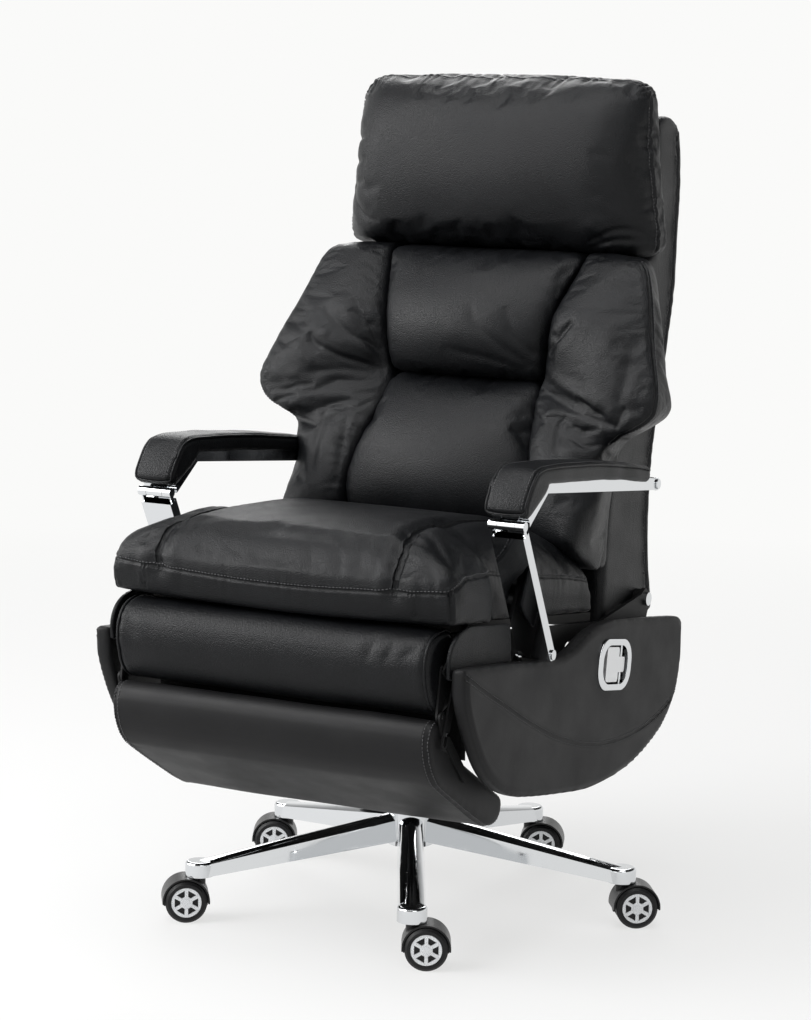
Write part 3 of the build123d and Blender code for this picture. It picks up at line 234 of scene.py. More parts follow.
def make_plywood():
    """Birch plywood stained black, its long soft growth bands just showing."""
    stain = hex_colour("#0c0b0b")
    material, tree, shader, coords = new_material("black-stained plywood", stain, roughness=0.75)
    stretch = add(tree, "ShaderNodeMapping", Vector=coords, Scale=(6.0, 60.0, 60.0))
    bands = add(tree, "ShaderNodeTexNoise", Vector=stretch.outputs[0], Scale=1.0, Detail=5.0)
    ramp = add(tree, "ShaderNodeMix", {"data_type": "RGBA"}, Factor=bands.outputs["Fac"])
    ramp.inputs["A"].default_value = (*hex_colour("#090909"), 1.0)
    ramp.inputs["B"].default_value = (*hex_colour("#131211"), 1.0)
    tree.links.new(ramp.outputs["Result"], shader.inputs["Base Color"])
    return material


# x beyond which the handle cup is chrome; nearer the chair's middle its dish is painted black and dull as
# painted shade
CUP_PAINTED_SHADE_AT = 0.2845
# roughness of the dish's painted shade
PAINTED_SHADE_ROUGHNESS = 0.35


def make_cup():
    """Chrome plate on the handle cup's rim, while the dish inside is painted black, dull and without metal as
    painted shade in its recess, so only the rim shines.
    """
    material, tree, shader, coords = new_material(
        "chromed plastic dish", hex_colour(CHROME_COLOUR), roughness=CHROME_ROUGHNESS)
    parts = add(tree, "ShaderNodeSeparateXYZ", Vector=coords)
    outside_painted_shade = add(tree, "ShaderNodeMath", {"operation": "GREATER_THAN"},
                 in0=parts.outputs["X"], in1=CUP_PAINTED_SHADE_AT)
    colour = add(tree, "ShaderNodeMix", {"data_type": "RGBA"}, Factor=outside_painted_shade.outputs[0])
    # the dish's painted shade: black where the cup lies deep in the skirt
    colour.inputs["A"].default_value = (*hex_colour("#0d0d0e"), 1.0)
    colour.inputs["B"].default_value = (*hex_colour(CHROME_COLOUR), 1.0)
    rough = add(tree, "ShaderNodeMapRange", Value=outside_painted_shade.outputs[0],
                To_Min=PAINTED_SHADE_ROUGHNESS, To_Max=CHROME_ROUGHNESS)
    haze = add(tree, "ShaderNodeTexNoise", Vector=coords, Scale=90.0, Detail=2.0)
    bump = add(tree, "ShaderNodeBump", Height=haze.outputs["Fac"], Distance=0.0003, Strength=0.2)
    tree.links.new(colour.outputs["Result"], shader.inputs["Base Color"])
    tree.links.new(outside_painted_shade.outputs[0], shader.inputs["Metallic"])
    tree.links.new(rough.outputs[0], shader.inputs["Roughness"])
    tree.links.new(bump.outputs["Normal"], shader.inputs["Normal"])
    return material


# real dots are 0.8 mm apart, drawn at 2 mm so that they show
CLOTH_DOT_SPACING = 0.002


def make_dust_cloth():
    """Spun-bonded polypropylene dust cloth: a matt black felt with a faint net of pressed dots."""
    black = hex_colour("#111112")
    material, tree, shader, coords = new_material("spun-bonded dust cloth", black, roughness=0.9)
    dots = add(tree, "ShaderNodeTexVoronoi", Vector=coords, Scale=1.0 / CLOTH_DOT_SPACING, Randomness=0.25)
    tone = add(tree, "ShaderNodeMapRange", Value=dots.outputs["Distance"], From_Max=0.6,
               To_Min=0.7, To_Max=1.2)
    tint = add(tree, "ShaderNodeVectorMath", {"operation": "SCALE"}, in0=black)
    bump = add(tree, "ShaderNodeBump", Height=dots.outputs["Distance"], Distance=0.0003, Strength=0.5)
    tree.links.new(tone.outputs[0], tint.inputs["Scale"])
    tree.links.new(tint.outputs[0], shader.inputs["Base Color"])
    tree.links.new(bump.outputs["Normal"], shader.inputs["Normal"])
    return material


MAKERS = {
    "leather": make_leather,
    "skirt leather": make_skirt_leather,
    "thread": make_thread,
    "chrome": make_chrome,
    "plywood": make_plywood,
    "cup": make_cup,
    "dust cloth": make_dust_cloth,
    # powder coat: an even black film with a fine orange peel
    "black paint": lambda: grained("black powder-coated steel", hex_colour("#0e0e0f"),
                                   roughness=0.55, grain=0.0012, Specular_IOR_Level=0.25),
    # glass-filled nylon as moulded: black, a little open-grained
    "nylon": lambda: grained("moulded black nylon", hex_colour("#101011"),
                             roughness=0.34, grain=0.0009, Specular_IOR_Level=0.3),
    # polyurethane tread: a soft black with a low sheen
    "tread": lambda: grained("black polyurethane tread", hex_colour("#121213"),
                             roughness=0.5, grain=0.0011, Specular_IOR_Level=0.3),
    # satin nickel plate on the handle's paddle: pale and evenly bright
    "paddle": lambda: grained("satin nickel-plated zinc", hex_colour("#e9eaeb"),
                              roughness=0.38, grain=0.0008, metallic=0.7),
    # silver lacquer over moulded plastic: bright but never a mirror
    "silver": lambda: grained("silver-lacquered plastic", hex_colour("#e2e4e6"),
                              roughness=0.3, grain=0.0008, metallic=0.55),
    # ground and hard-chromed piston rod
    "piston": lambda: grained("ground steel rod", hex_colour("#d4d6d9"),
                              roughness=0.14, grain=0.0007, metallic=1.0),
    # turned steel for stems, axles and pins
    "steel": lambda: grained("turned zinc-plated steel", hex_colour("#a9abad"),
                             roughness=0.3, grain=0.0007, metallic=1.0),
}
FINISHES = {}


def finish(name):
    """The material of that name, made once."""
    if name not in FINISHES:
        FINISHES[name] = MAKERS[name]()
    return FINISHES[name]


# ---------------------------------------------------------------- mesh tools
def piece_object(name, bm):
    """Turns a bmesh into an object at the origin."""
    mesh = bpy.data.meshes.new(name)
    bm.to_mesh(mesh)
    bm.free()
    obj = bpy.data.objects.new(name, mesh)
    bpy.context.scene.collection.objects.link(obj)
    return obj


def dress(obj, body, material, stands_for=()):
    """Gives a piece its material and body, and hides the CAD nodes that it stands for."""
    obj.data.materials.clear()
    obj.data.materials.append(finish(material))
    for polygon in obj.data.polygons:
        polygon.use_smooth = True
    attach(obj, body)
    if stands_for:
        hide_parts(*stands_for)
    return obj


def bake(obj):
    """Applies an object's modifiers to its mesh."""
    graph = bpy.context.evaluated_depsgraph_get()
    mesh = bpy.data.meshes.new_from_object(obj.evaluated_get(graph))
    obj.modifiers.clear()
    obj.data = mesh
    return obj


def remesh(obj, voxel=None):
    """Rebuilds a piece as an even grid of small faces."""
    modifier = obj.modifiers.new("remesh", "REMESH")
    modifier.mode = "VOXEL"
    modifier.voxel_size = voxel or settings().voxel_size
    modifier.use_smooth_shade = True
    return bake(obj)


def relax(obj, rounds):
    """Smooths a piece's surface."""
    modifier = obj.modifiers.new("relax", "SMOOTH")
    modifier.iterations = rounds
    modifier.factor = 0.5
    return bake(obj)


def subdivide(obj):
    """Quarters each face of a piece, smoothly."""
    modifier = obj.modifiers.new("subdivision", "SUBSURF")
    modifier.levels = modifier.render_levels = 1
    return bake(obj)


def block(cuts, radii, foot=None):
    """A cube from -1 to 1 with a grid on each face and rounded edges; foot gives other radii below."""
    bm = bmesh.new()
    bmesh.ops.create_cube(bm, size=2.0)
    bmesh.ops.subdivide_edges(bm, edges=bm.edges[:], cuts=cuts, use_grid_fill=True)
    for vert in bm.verts:
        chosen = foot if foot and vert.co.z < 0 else radii
        kept = Vector([max(-1 + r, min(1 - r, c)) for c, r in zip(vert.co, chosen)])
        out = Vector([(c - k) / r for c, k, r in zip(vert.co, kept, chosen)])
        if out.length > 1:
            out.normalize()
        vert.co = kept + Vector([o * r for o, r in zip(out, chosen)])
    return bm


# a length too small to matter
TINY = 1e-6


def between(rows, key):
    """A smooth curve through a table's rows at a key; column 0 is the key."""
    keys = [row[0] for row in rows]
    i = 0
    while i < len(rows) - 2 and key > keys[i + 1]:
        i += 1
    t = (key - keys[i]) / (keys[i + 1] - keys[i])
    t = max(0.0, min(1.0, t))
    before = rows[max(i - 1, 0)]
    after = rows[min(i + 2, len(rows) - 1)]
    span = keys[i + 1] - keys[i]
    low = 2 * t ** 3 - 3 * t ** 2 + 1
    rise, fall = t ** 3 - 2 * t ** 2 + t, t ** 3 - t ** 2
    values = []
    for a, b, c, d in zip(before[1:], rows[i][1:], rows[i + 1][1:], after[1:]):
        slope_b = (c - a) / max(keys[i + 1] - before[0], TINY) * span
        slope_c = (d - b) / max(after[0] - keys[i], TINY) * span
        values.append(low * b + rise * slope_b + (1 - low) * c + fall * slope_c)
    return values


def smooth_line(points, step=0.004):
    """Points along a smooth curve through the given ones."""
    line = [Vector(p) for p in points]
    out = []
    for i in range(len(line) - 1):
        a = line[max(i - 1, 0)]
        b, c = line[i], line[i + 1]
        d = line[min(i + 2, len(line) - 1)]
        count = max(1, int(round((c - b).length / step)))
        for k in range(count):
            t = k / count
            out.append(0.5 * (2 * b + (c - a) * t + (2 * a - 5 * b + 4 * c - d) * t ** 2
                              + (3 * b - a - 3 * c + d) * t ** 3))
    out.append(line[-1])
    return out


def slab(outline, x0, x1, bevel=0.0, segments=4):
    """An outline of (y, z) points pushed through along X, with rounded rims."""
    bm = bmesh.new()
    face = bm.faces.new([bm.verts.new((x0, y, z)) for y, z in outline])
    pushed = bmesh.ops.extrude_face_region(bm, geom=[face])
    bmesh.ops.translate(bm, verts=[v for v in pushed["geom"] if isinstance(v, bmesh.types.BMVert)],
                        vec=(x1 - x0, 0, 0))
    bmesh.ops.recalc_face_normals(bm, faces=bm.faces[:])
    if bevel:
        rims = [e for e in bm.edges if abs(e.verts[0].co.x - e.verts[1].co.x) < TINY]
        bmesh.ops.bevel(bm, geom=rims, offset=bevel, segments=segments, affect="EDGES", profile=0.5,
                        material=-1)
    return bm


def mesh_coords(mesh):
    """A mesh's points, one to a row."""
    places = np.empty(len(mesh.vertices) * 3)
    mesh.vertices.foreach_get("co", places)
    return places.reshape(-1, 3)


def mesh_normals(mesh):
    """The normals at a mesh's points, one to a row."""
    return np.array([n.vector[:] for n in mesh.vertex_normals])


def set_coords(mesh, places):
    """Moves a mesh's points to new places."""
    mesh.vertices.foreach_set("co", places.ravel())
    mesh.update()


def surface(obj):
    """A tree of an object's faces, to find points on it."""
    graph = bpy.context.evaluated_depsgraph_get()
    return BVHTree.FromObject(obj, graph)


def laid_on(tree, points, step=0.003):
    """A smooth line dropped onto a surface: its points and the normals there."""
    line, normals = [], []
    for point in smooth_line(points, step):
        place, normal, _, _ = tree.find_nearest(point)
        line.append(place)
        normals.append(normal)
    return line, normals


def along(obj, line, reach):
    """For each vertex near a line: its index, distance to the line and place along it from 0 to 1."""
    tree = KDTree(len(line))
    for i, point in enumerate(line):
        tree.insert(point, i)
    tree.balance()
    last = len(line) - 1
    places = mesh_coords(obj.data)
    low = np.min([p[:] for p in line], axis=0) - reach
    high = np.max([p[:] for p in line], axis=0) + reach
    near = np.where(np.all((places > low) & (places < high), axis=1))[0]
    found = []
    for index in near:
        place = Vector(places[index])
        _, i, distance = tree.find(place)
        if distance > reach:
            continue
        before, after = max(i - 1, 0), min(i + 1, last)
        run = line[after] - line[before]
        t = max(0.0, min(1.0, (place - line[before]).dot(run) / max(run.length_squared, TINY ** 2)))
        distance = (place - line[before] - run * t).length
        found.append((index, distance, (before + t * (after - before)) / last))
    return found


# distance from a seam within which a cover's mesh is made finer
REFINE_REACH = 0.007


def refine(obj, lines):
    """Halves the edges near seams, so that narrow channels stay crisp."""
    near = {index for line in lines for index, _, _ in along(obj, line, REFINE_REACH)}
    bm = bmesh.new()
    bm.from_mesh(obj.data)
    edges = [e for e in bm.edges if all(v.index in near for v in e.verts)]
    bmesh.ops.subdivide_edges(bm, edges=edges, cuts=1, use_grid_fill=True)
    bm.to_mesh(obj.data)
    bm.free()
    obj.data.update()


def groove(obj, line, width, depth, shoulder=0.35, taper=False):
    """Presses a channel into a piece along a line, with low shoulders where the filling rises beside it."""
    places, normals = mesh_coords(obj.data), mesh_normals(obj.data)
    for index, distance, t in along(obj, line, width * 4):
        fade = math.sin(math.pi * min(max(t, 0.0), 1.0)) ** 0.7 if taper else 1.0
        channel = math.exp(-(distance / width) ** 2)
        beside = math.exp(-((distance - 2 * width) / width) ** 2)
        places[index] -= normals[index] * depth * (channel - shoulder * beside) * fade
    set_coords(obj.data, places)


def gathers(obj, line, reach, height, spacing, seed):
    """Presses the small folds that run away from a seam where the cover is gathered into it. Noise lets
    each fold drift along the seam, and gives it a length and a height of its own."""
    places, normals = mesh_coords(obj.data), mesh_normals(obj.data)
    length = sum((b - a).length for a, b in zip(line, line[1:]))
    for index, distance, t in along(obj, line, reach * 2.0):
        s = t * length / spacing
        lean = 0.25 * distance / reach
        drift = noise.noise(Vector((s * 0.45, seed * 7.3, 0.0)))
        fold = 1 - abs(math.sin(math.pi * (s + 0.9 * drift + lean * drift)))
        how_far = 0.5 + 0.9 * noise.noise(Vector((s * 0.9, seed * 1.7, 3.0)))
        how_high = 0.65 + 0.9 * noise.noise(Vector((s * 0.5, seed * 2.9, 9.0)))
        length_here = reach * max(0.25, 0.5 + how_far)
        fade = math.exp(-(distance / length_here) ** 2) * min(1.0, distance / (reach * 0.15) + 0.1)
        places[index] -= normals[index] * height * how_high * (1.6 * fold - 0.5) * fade
    set_coords(obj.data, places)


def creases(obj, tree, lines, width, depth):
    """Presses separate folds into a piece, each from its first point to its last and fading at both ends:
    a soft trough with low ridges beside it, and a sharper line at its bottom."""
    for points in lines:
        line, _ = laid_on(tree, points)
        groove(obj, line, width * 1.5, depth * 0.6, shoulder=0.6, taper=True)
        groove(obj, line, width * 0.5, depth * 0.4, shoulder=0.3, taper=True)


def ripple(obj, height, size, seed, stretch=(1, 1, 1)):
    """Low uneven waves over a whole piece, as in a cover that isn't drawn tight."""
    places, normals = mesh_coords(obj.data), mesh_normals(obj.data)
    scale = np.array(stretch) / size
    shift = Vector((seed * 5.7, 0, 0))
    for i, place in enumerate(places):
        places[i] = place + normals[i] * height * noise.noise(Vector(place * scale) + shift)
    set_coords(obj.data, places)


# an upholstery leather over foam: it hardly stretches and bends in broad curves
COVER = {"quality": 4, "mass": 0.35, "tension_stiffness": 22, "compression_stiffness": 22,
         "shear_stiffness": 12, "bending_stiffness": 1.2, "use_pressure": True, "vertex_group_mass": "pins"}
SWELL_STEPS = 20


def swell(obj, cap, pinned, spare):
    """Blows a padded piece up as cloth with some spare cover, keeps its pinned points and caps how far a
    point may move."""
    pressure = settings().puff
    if not pressure:
        return
    start = mesh_coords(obj.data)
    group = obj.vertex_groups.new(name="pins")
    for index in pinned:
        group.add([int(index)], 1.0, "REPLACE")
    modifier = obj.modifiers.new("cloth", "CLOTH")
    cloth = modifier.settings
    for key, value in COVER.items():
        setattr(cloth, key, value)
    cloth.uniform_pressure_force = pressure
    cloth.effector_weights.gravity = 0.0
    cloth.shrink_min = -spare
    modifier.collision_settings.use_collision = False
    scene = bpy.context.scene
    for step in range(1, SWELL_STEPS + 1):
        scene.frame_set(step)
    graph = bpy.context.evaluated_depsgraph_get()
    mesh = bpy.data.meshes.new_from_object(obj.evaluated_get(graph))
    obj.modifiers.clear()
    obj.vertex_groups.clear()
    move = mesh_coords(mesh) - start
    far = np.linalg.norm(move, axis=1)
    move *= np.minimum(1.0, cap / np.maximum(far, TINY))[:, None]
    scene.frame_set(1)
    set_coords(obj.data, start + move)


def tube(name, points, radius, closed=False):
    """A round tube along a smooth line, as a mesh."""
    curve = bpy.data.curves.new(name, "CURVE")
    curve.dimensions = "3D"
    curve.bevel_depth = radius
    curve.bevel_resolution = 2
    curve.use_fill_caps = not closed
    line = smooth_line(points)
    spline = curve.splines.new("POLY")
    spline.points.add(len(line) - 1)
    for point, place in zip(spline.points, line):
        point.co = (*place, 1.0)
    spline.use_cyclic_u = closed
    temporary = bpy.data.objects.new(name, curve)
    bpy.context.scene.collection.objects.link(temporary)
    graph = bpy.context.evaluated_depsgraph_get()
    mesh = bpy.data.meshes.new_from_object(temporary.evaluated_get(graph))
    bpy.data.objects.remove(temporary)
    obj = bpy.data.objects.new(name, mesh)
    bpy.context.scene.collection.objects.link(obj)
    return obj


# height of a stitch's middle over the cover, and half its length as a part of the pitch
STITCH_RISE = 0.0003
STITCH_HALF_LENGTH = 0.40


def stitches(name, runs, body, radius=0.00075):
    """Separate stitches of thread laid end to end along lines on a surface."""
    pitch = settings().stitch_pitch
    whole = bmesh.new()
    for line, normals in runs:
        places = [line[0]]
        ups = [normals[0]]
        left = pitch
        for a, b, up in zip(line, line[1:], normals[1:]):
            gap = (b - a).length
            while left <= gap and gap > 0:
                a = a.lerp(b, left / gap)
                gap = (b - a).length
                places.append(a.copy())
                ups.append(up)
                left = pitch
            left -= gap
        for a, b, up in zip(places, places[1:], ups):
            run = b - a
            if run.length < pitch * 0.5 or run.length > pitch * 1.5:
                continue
            across = run.normalized().cross(up)
            turn = Matrix((run.normalized(), across, up)).transposed().to_4x4()
            turn.translation = (a + b) / 2 + up * STITCH_RISE
            size = Matrix.Diagonal((pitch * STITCH_HALF_LENGTH, radius, radius, 1.0))
            made = bmesh.ops.create_uvsphere(whole, u_segments=6, v_segments=4, radius=1.0)
            bmesh.ops.transform(whole, verts=made["verts"], matrix=turn @ size)
    obj = piece_object(name, whole)
    return dress(obj, body, "thread")


def flip(obj):
    """Turns a mesh into its own mirror image across the chair."""
    bm = bmesh.new()
    bm.from_mesh(obj.data)
    bmesh.ops.scale(bm, vec=(-1, 1, 1), verts=bm.verts[:])
    bmesh.ops.reverse_faces(bm, faces=bm.faces[:])
    bm.to_mesh(obj.data)
    bm.free()


def profile(outline, step):
    """A closed (y, z) outline with a smooth curve through its corners."""
    return [(p.y, p.z) for p in smooth_line([(0, y, z) for y, z in outline], step)[:-1]]


# ---------------------------------------------------------------- seat
def seat_bottom(y):
    """Height of the cushion's flat underside."""
    return SEAT_BOTTOM_AT_FRONT - SEAT_PITCH * (y - SEAT_FRONT)


# y, height of the stitched line along the seat cushion's side
STITCH_HEIGHTS = [(-0.345, 0.5615), (-0.255, 0.5520), (-0.091, 0.5230), (0.007, 0.5080), (0.110, 0.4860)]
# y, half width of the T-shaped cushion
SEAT_WIDTHS = [(-0.415, 0.265), (-0.36, 0.267), (-0.275, 0.262), (-0.245, 0.244), (-0.10, 0.241),
               (0.11, 0.238)]
# y, height of the crown's middle over the cushion's underside
SEAT_TOPS = [(-0.415, 0.076), (-0.395, 0.090), (-0.375, 0.099), (-0.34, 0.108), (-0.27, 0.120),
             (-0.15, 0.129), (-0.03, 0.126), (0.04, 0.108), (0.08, 0.084), (0.11, 0.064)]
COVER_FRONT = -0.398
COVER_LENGTH = 0.501
SEAT_SIDE_HEIGHT = 0.058
# the front: how far its middle bows out and sags, and how far its lower edge is drawn in
SEAT_BOW = 0.012
SEAT_SAG = 0.007
SEAT_TUCK = 0.011
# how much narrower the sides are where the boxing is drawn in
SIDE_DRAW = 0.010
# the stitched line round the cushion from the right side to the middle of the front, as x and y along
# the side and as x, y and z round the corner
RIM_SIDE = [(0.236, 0.09), (0.241, 0.02), (0.242, -0.12), (0.243, -0.235), (0.254, -0.262), (0.262, -0.30),
            (0.262, -0.343)]
RIM_FRONT = [(0.262, -0.360, 0.5565), (0.262, -0.392, 0.5470), (0.245, -0.402, 0.5440),
             (0.178, -0.405, 0.5400), (0.069, -0.410, 0.5350), (0.0, -0.412, 0.5340)]
# one of the two seams from the stitched front over the top to the back
SEAT_SEAM = [(0.181, -0.405, 0.540), (0.184, -0.405, 0.560), (0.182, -0.393, 0.585), (0.176, -0.360, 0.600),
             (0.164, -0.31, 0.607), (0.157, -0.25, 0.608), (0.156, -0.12, 0.600), (0.156, 0.0, 0.583),
             (0.156, 0.09, 0.53)]
# the corner seam of the boxing, and the x of the two small pleats beside it
SEAT_CORNER = [(0.264, -0.396, z) for z in (0.547, 0.535, 0.515, 0.503)]
PLEATS = (0.203, 0.208)
SEAT_FOLDS = [
    [(0.262, -0.350, 0.564), (0.252, -0.345, 0.575), (0.240, -0.330, 0.588), (0.225, -0.31, 0.598)],
    [(0.258, -0.368, 0.560), (0.245, -0.368, 0.575), (0.232, -0.350, 0.590)],
    [(0.240, -0.400, 0.550), (0.235, -0.395, 0.565), (0.225, -0.385, 0.580)],
    [(0.135, -0.405, 0.556), (0.115, -0.380, 0.590), (0.085, -0.340, 0.602)],
    [(0.105, -0.408, 0.556), (0.088, -0.385, 0.588), (0.060, -0.350, 0.600)],
    [(0.155, -0.405, 0.552), (0.145, -0.385, 0.585), (0.128, -0.350, 0.602)],
    [(0.060, -0.409, 0.552), (0.045, -0.388, 0.586), (0.015, -0.350, 0.602)],
    [(-0.215, -0.395, 0.560), (-0.205, -0.370, 0.585)]]


def stitch_height(y):
    """Height of the stitched line along the cushion's side."""
    return between(STITCH_HEIGHTS, y)[0]


def mirror_line(points):
    """A line of points on the chair's other side."""
    return [(-x, y, z) for x, y, z in points]


def seat_form(vert):
    """Lays a block's point into the cushion: a flat-topped pillow over boxed sides, its front bowed."""
    u, v, w = vert.co
    bow = SEAT_BOW * (1 - u * u) * max(0.0, -v) ** 3
    y = COVER_FRONT + (v + 1) / 2 * COVER_LENGTH - bow
    y += SEAT_TUCK * max(0.0, -v) ** 6 * max(0.0, -w) ** 1.5
    half = between(SEAT_WIDTHS, y)[0]
    crown = between(SEAT_TOPS, y)[0]
    low = seat_bottom(y)
    top = low + SEAT_SIDE_HEIGHT + (crown - SEAT_SIDE_HEIGHT) * max(0.0, 1 - abs(u) ** 5) ** 0.6
    sag = SEAT_SAG * (1 - u * u) * max(0.0, -v) ** 4 * (1 - w) / 2
    draw = 1 - SIDE_DRAW * max(0.0, 1 - ((w + 0.45) / 0.5) ** 2)
    vert.co = (u * half * draw, y, low + (w + 1) / 2 * (top - low) - sag)


class CHAIR_OT_seat(bpy.types.Operator):
    """Seat cushion with its seams, boxing and stitched front"""
    bl_idname = "chair.seat"
    bl_label = "Seat cushion"

    def execute(self, context):
        bm = block(cuts=44, radii=(0.08, 0.13, 0.80), foot=(0.02, 0.02, 0.10))
        for vert in bm.verts:
            seat_form(vert)
        seat = remesh(piece_object("seat_cushion_cover", bm), voxel=0.0062)
        relax(seat, rounds=3)
        places = mesh_coords(seat.data)
        pinned = np.where(places[:, 2] < [stitch_height(y) - 0.004 for y in places[:, 1]])[0]
        swell(seat, cap=0.006, pinned=pinned, spare=0.01)
        subdivide(seat)
        skin = surface(seat)
        rim = [(x, y, stitch_height(y)) for x, y in RIM_SIDE] + RIM_FRONT
        rim_line, _ = laid_on(skin, rim + mirror_line(reversed(rim[:-1])))
        seams = [laid_on(skin, line)[0] for line in (SEAT_SEAM, mirror_line(SEAT_SEAM))]
        refine(seat, [rim_line] + seams)
        groove(seat, rim_line, width=0.0022, depth=0.0024, shoulder=0.1)
        for sign, seam_line in zip((1, -1), seams):
            groove(seat, seam_line, width=0.0020, depth=0.0030, shoulder=0.2)
            groove(seat, seam_line, width=0.012, depth=0.0040, shoulder=0.3)
            corner, _ = laid_on(skin, [(sign * x, y, z) for x, y, z in SEAT_CORNER])
            groove(seat, corner, width=0.0024, depth=0.0034)
            for x in PLEATS:
                leaning = [(sign * (x + (0.541 - z) * 0.15), -0.403, z) for z in (0.540, 0.525, 0.504)]
                pleat, _ = laid_on(skin, leaning)
                groove(seat, pleat, width=0.0016, depth=0.0018)
        gathers(seat, rim_line, reach=0.018, height=0.0006, spacing=0.021, seed=2)
        for k, seam_line in enumerate(seams):
            gathers(seat, seam_line, reach=0.022, height=0.0005, spacing=0.026, seed=4 + k)
        creases(seat, skin, SEAT_FOLDS, width=0.0060, depth=0.0013)
        ripple(seat, height=0.0014, size=0.13, seed=3)
        dress(seat, "seat", "leather", ("seat_cushion",))
        skin = surface(seat)
        runs = [laid_on(skin, [(p[0], p[1], p[2] + 0.0034) for p in rim_line[::6]])]
        stitches("seat_stitching", runs, "seat")
        return {"FINISHED"}


# ---------------------------------------------------------------- backrest
# z, y of the shell's front
FRONT_LINE = [(0.410, 0.140), (0.560, 0.150), (0.700, 0.182), (0.940, 0.260)]
# z, half width, front y, how far the middle stands proud
LUMBAR = [(0.500, 0.150, 0.098, 0.006), (0.560, 0.149, 0.062, 0.016), (0.607, 0.147, 0.050, 0.024),
          (0.656, 0.139, 0.060, 0.028), (0.705, 0.128, 0.088, 0.026), (0.745, 0.122, 0.124, 0.016),
          (0.764, 0.122, 0.150, 0.004)]
SHOULDER = [(0.763, 0.122, 0.150, 0.004), (0.783, 0.123, 0.136, 0.014), (0.825, 0.128, 0.132, 0.026),
            (0.870, 0.135, 0.144, 0.028), (0.915, 0.148, 0.176, 0.022), (0.948, 0.160, 0.206, 0.006)]


SHOULDER_FOLDS = [
    [(0.118, 0.13, 0.785), (0.075, 0.11, 0.815), (0.035, 0.10, 0.850), (0.020, 0.12, 0.880)],
    [(0.122, 0.13, 0.800), (0.095, 0.11, 0.835), (0.075, 0.12, 0.875)],
    [(0.112, 0.13, 0.778), (0.050, 0.11, 0.795), (-0.020, 0.11, 0.810)]]
# how far the pads overlap the shell, and the depth of their rear that the simulation holds still
PAD_OVERLAP = 0.001
HELD_DEPTH = 0.02


def shell_front(z):
    """y of the shell's front, on which the pads lie."""
    return between(FRONT_LINE, z)[0]


def centre_pad(name, rows, node, seed, folds):
    """A middle pad of the back, from its table of heights."""
    low, high = rows[0][0], rows[-1][0]
    bm = block(cuts=26, radii=(0.16, 0.30, 0.16))
    for vert in bm.verts:
        u, w, v = vert.co
        z = low + (v + 1) / 2 * (high - low)
        half, front, proud = between(rows, z)
        rear = shell_front(z) - PAD_OVERLAP
        bow = proud * max(0.0, 1 - u * u) * (1 - w) / 2
        vert.co = (u * (half + 0.002), front + (rear - front) * (w + 1) / 2 - bow, z)
    pad = remesh(piece_object(name, bm))
    relax(pad, rounds=3)
    places = mesh_coords(pad.data)
    pinned = [i for i, p in enumerate(places) if p[1] > shell_front(p[2]) - HELD_DEPTH]
    swell(pad, cap=0.007, pinned=pinned, spare=0.012)
    subdivide(pad)
    edge = [(-half, front + 0.01, z) for z, half, front, _ in rows]
    for k, line in enumerate((edge, mirror_line(edge))):
        gathers(pad, smooth_line(line), reach=0.022, height=0.0007, spacing=0.026, seed=seed + k)
    creases(pad, surface(pad), folds, width=0.0110, depth=0.0030)
    ripple(pad, height=0.0016, size=0.12, seed=seed)
    dress(pad, "back", "leather", (node,))


class CHAIR_OT_back_pads(bpy.types.Operator):
    """Lumbar pad and shoulder pad between the back's two seams"""
    bl_idname = "chair.back_pads"
    bl_label = "Back pads"

    def execute(self, context):
        centre_pad("lumbar_pad_cover", LUMBAR, "lower_back_pad", seed=11, folds=[])
        centre_pad("shoulder_pad_cover", SHOULDER, "upper_back_pad", seed=17, folds=SHOULDER_FOLDS)
        return {"FINISHED"}


# Each side of the back is one panel, wing and bolster together, from the seat up to the headrest:
# place along it, inner seam x y z, outer edge x y z, y of the rear edge, how far the middle stands proud
SIDE = [(0.000, 0.152, 0.112, 0.503, 0.243, 0.100, 0.503, 0.144, 0.004),
        (0.070, 0.150, 0.064, 0.545, 0.244, 0.030, 0.543, 0.148, 0.012),
        (0.135, 0.149, 0.052, 0.585, 0.245, 0.036, 0.582, 0.153, 0.016),
        (0.195, 0.146, 0.058, 0.620, 0.246, 0.062, 0.616, 0.160, 0.018),
        (0.255, 0.139, 0.074, 0.655, 0.247, 0.076, 0.647, 0.166, 0.018),
        (0.315, 0.131, 0.094, 0.692, 0.249, 0.084, 0.671, 0.176, 0.016),
        (0.365, 0.124, 0.122, 0.725, 0.262, 0.094, 0.689, 0.190, 0.014),
        (0.410, 0.121, 0.140, 0.748, 0.283, 0.089, 0.704, 0.196, 0.016),
        (0.455, 0.125, 0.150, 0.765, 0.306, 0.090, 0.715, 0.194, 0.018),
        (0.505, 0.128, 0.149, 0.785, 0.323, 0.097, 0.731, 0.186, 0.020),
        (0.560, 0.131, 0.147, 0.810, 0.327, 0.100, 0.751, 0.176, 0.021),
        (0.620, 0.133, 0.147, 0.835, 0.323, 0.110, 0.772, 0.172, 0.022),
        (0.700, 0.137, 0.150, 0.862, 0.310, 0.130, 0.810, 0.183, 0.022),
        (0.790, 0.146, 0.167, 0.890, 0.293, 0.155, 0.856, 0.203, 0.020),
        (0.890, 0.154, 0.191, 0.920, 0.280, 0.176, 0.899, 0.222, 0.016),
        (0.960, 0.159, 0.206, 0.940, 0.268, 0.192, 0.932, 0.234, 0.012),
        (1.000, 0.161, 0.213, 0.950, 0.254, 0.202, 0.946, 0.241, 0.007)]
# place along the side above which its outer edge is the wing's, with a seam and stitches
NOTCH = 0.34
# x at which the side leaves the shell, and the width over which it does so
SHELL_EDGE, SHELL_EDGE_WIDTH = 0.222, 0.022


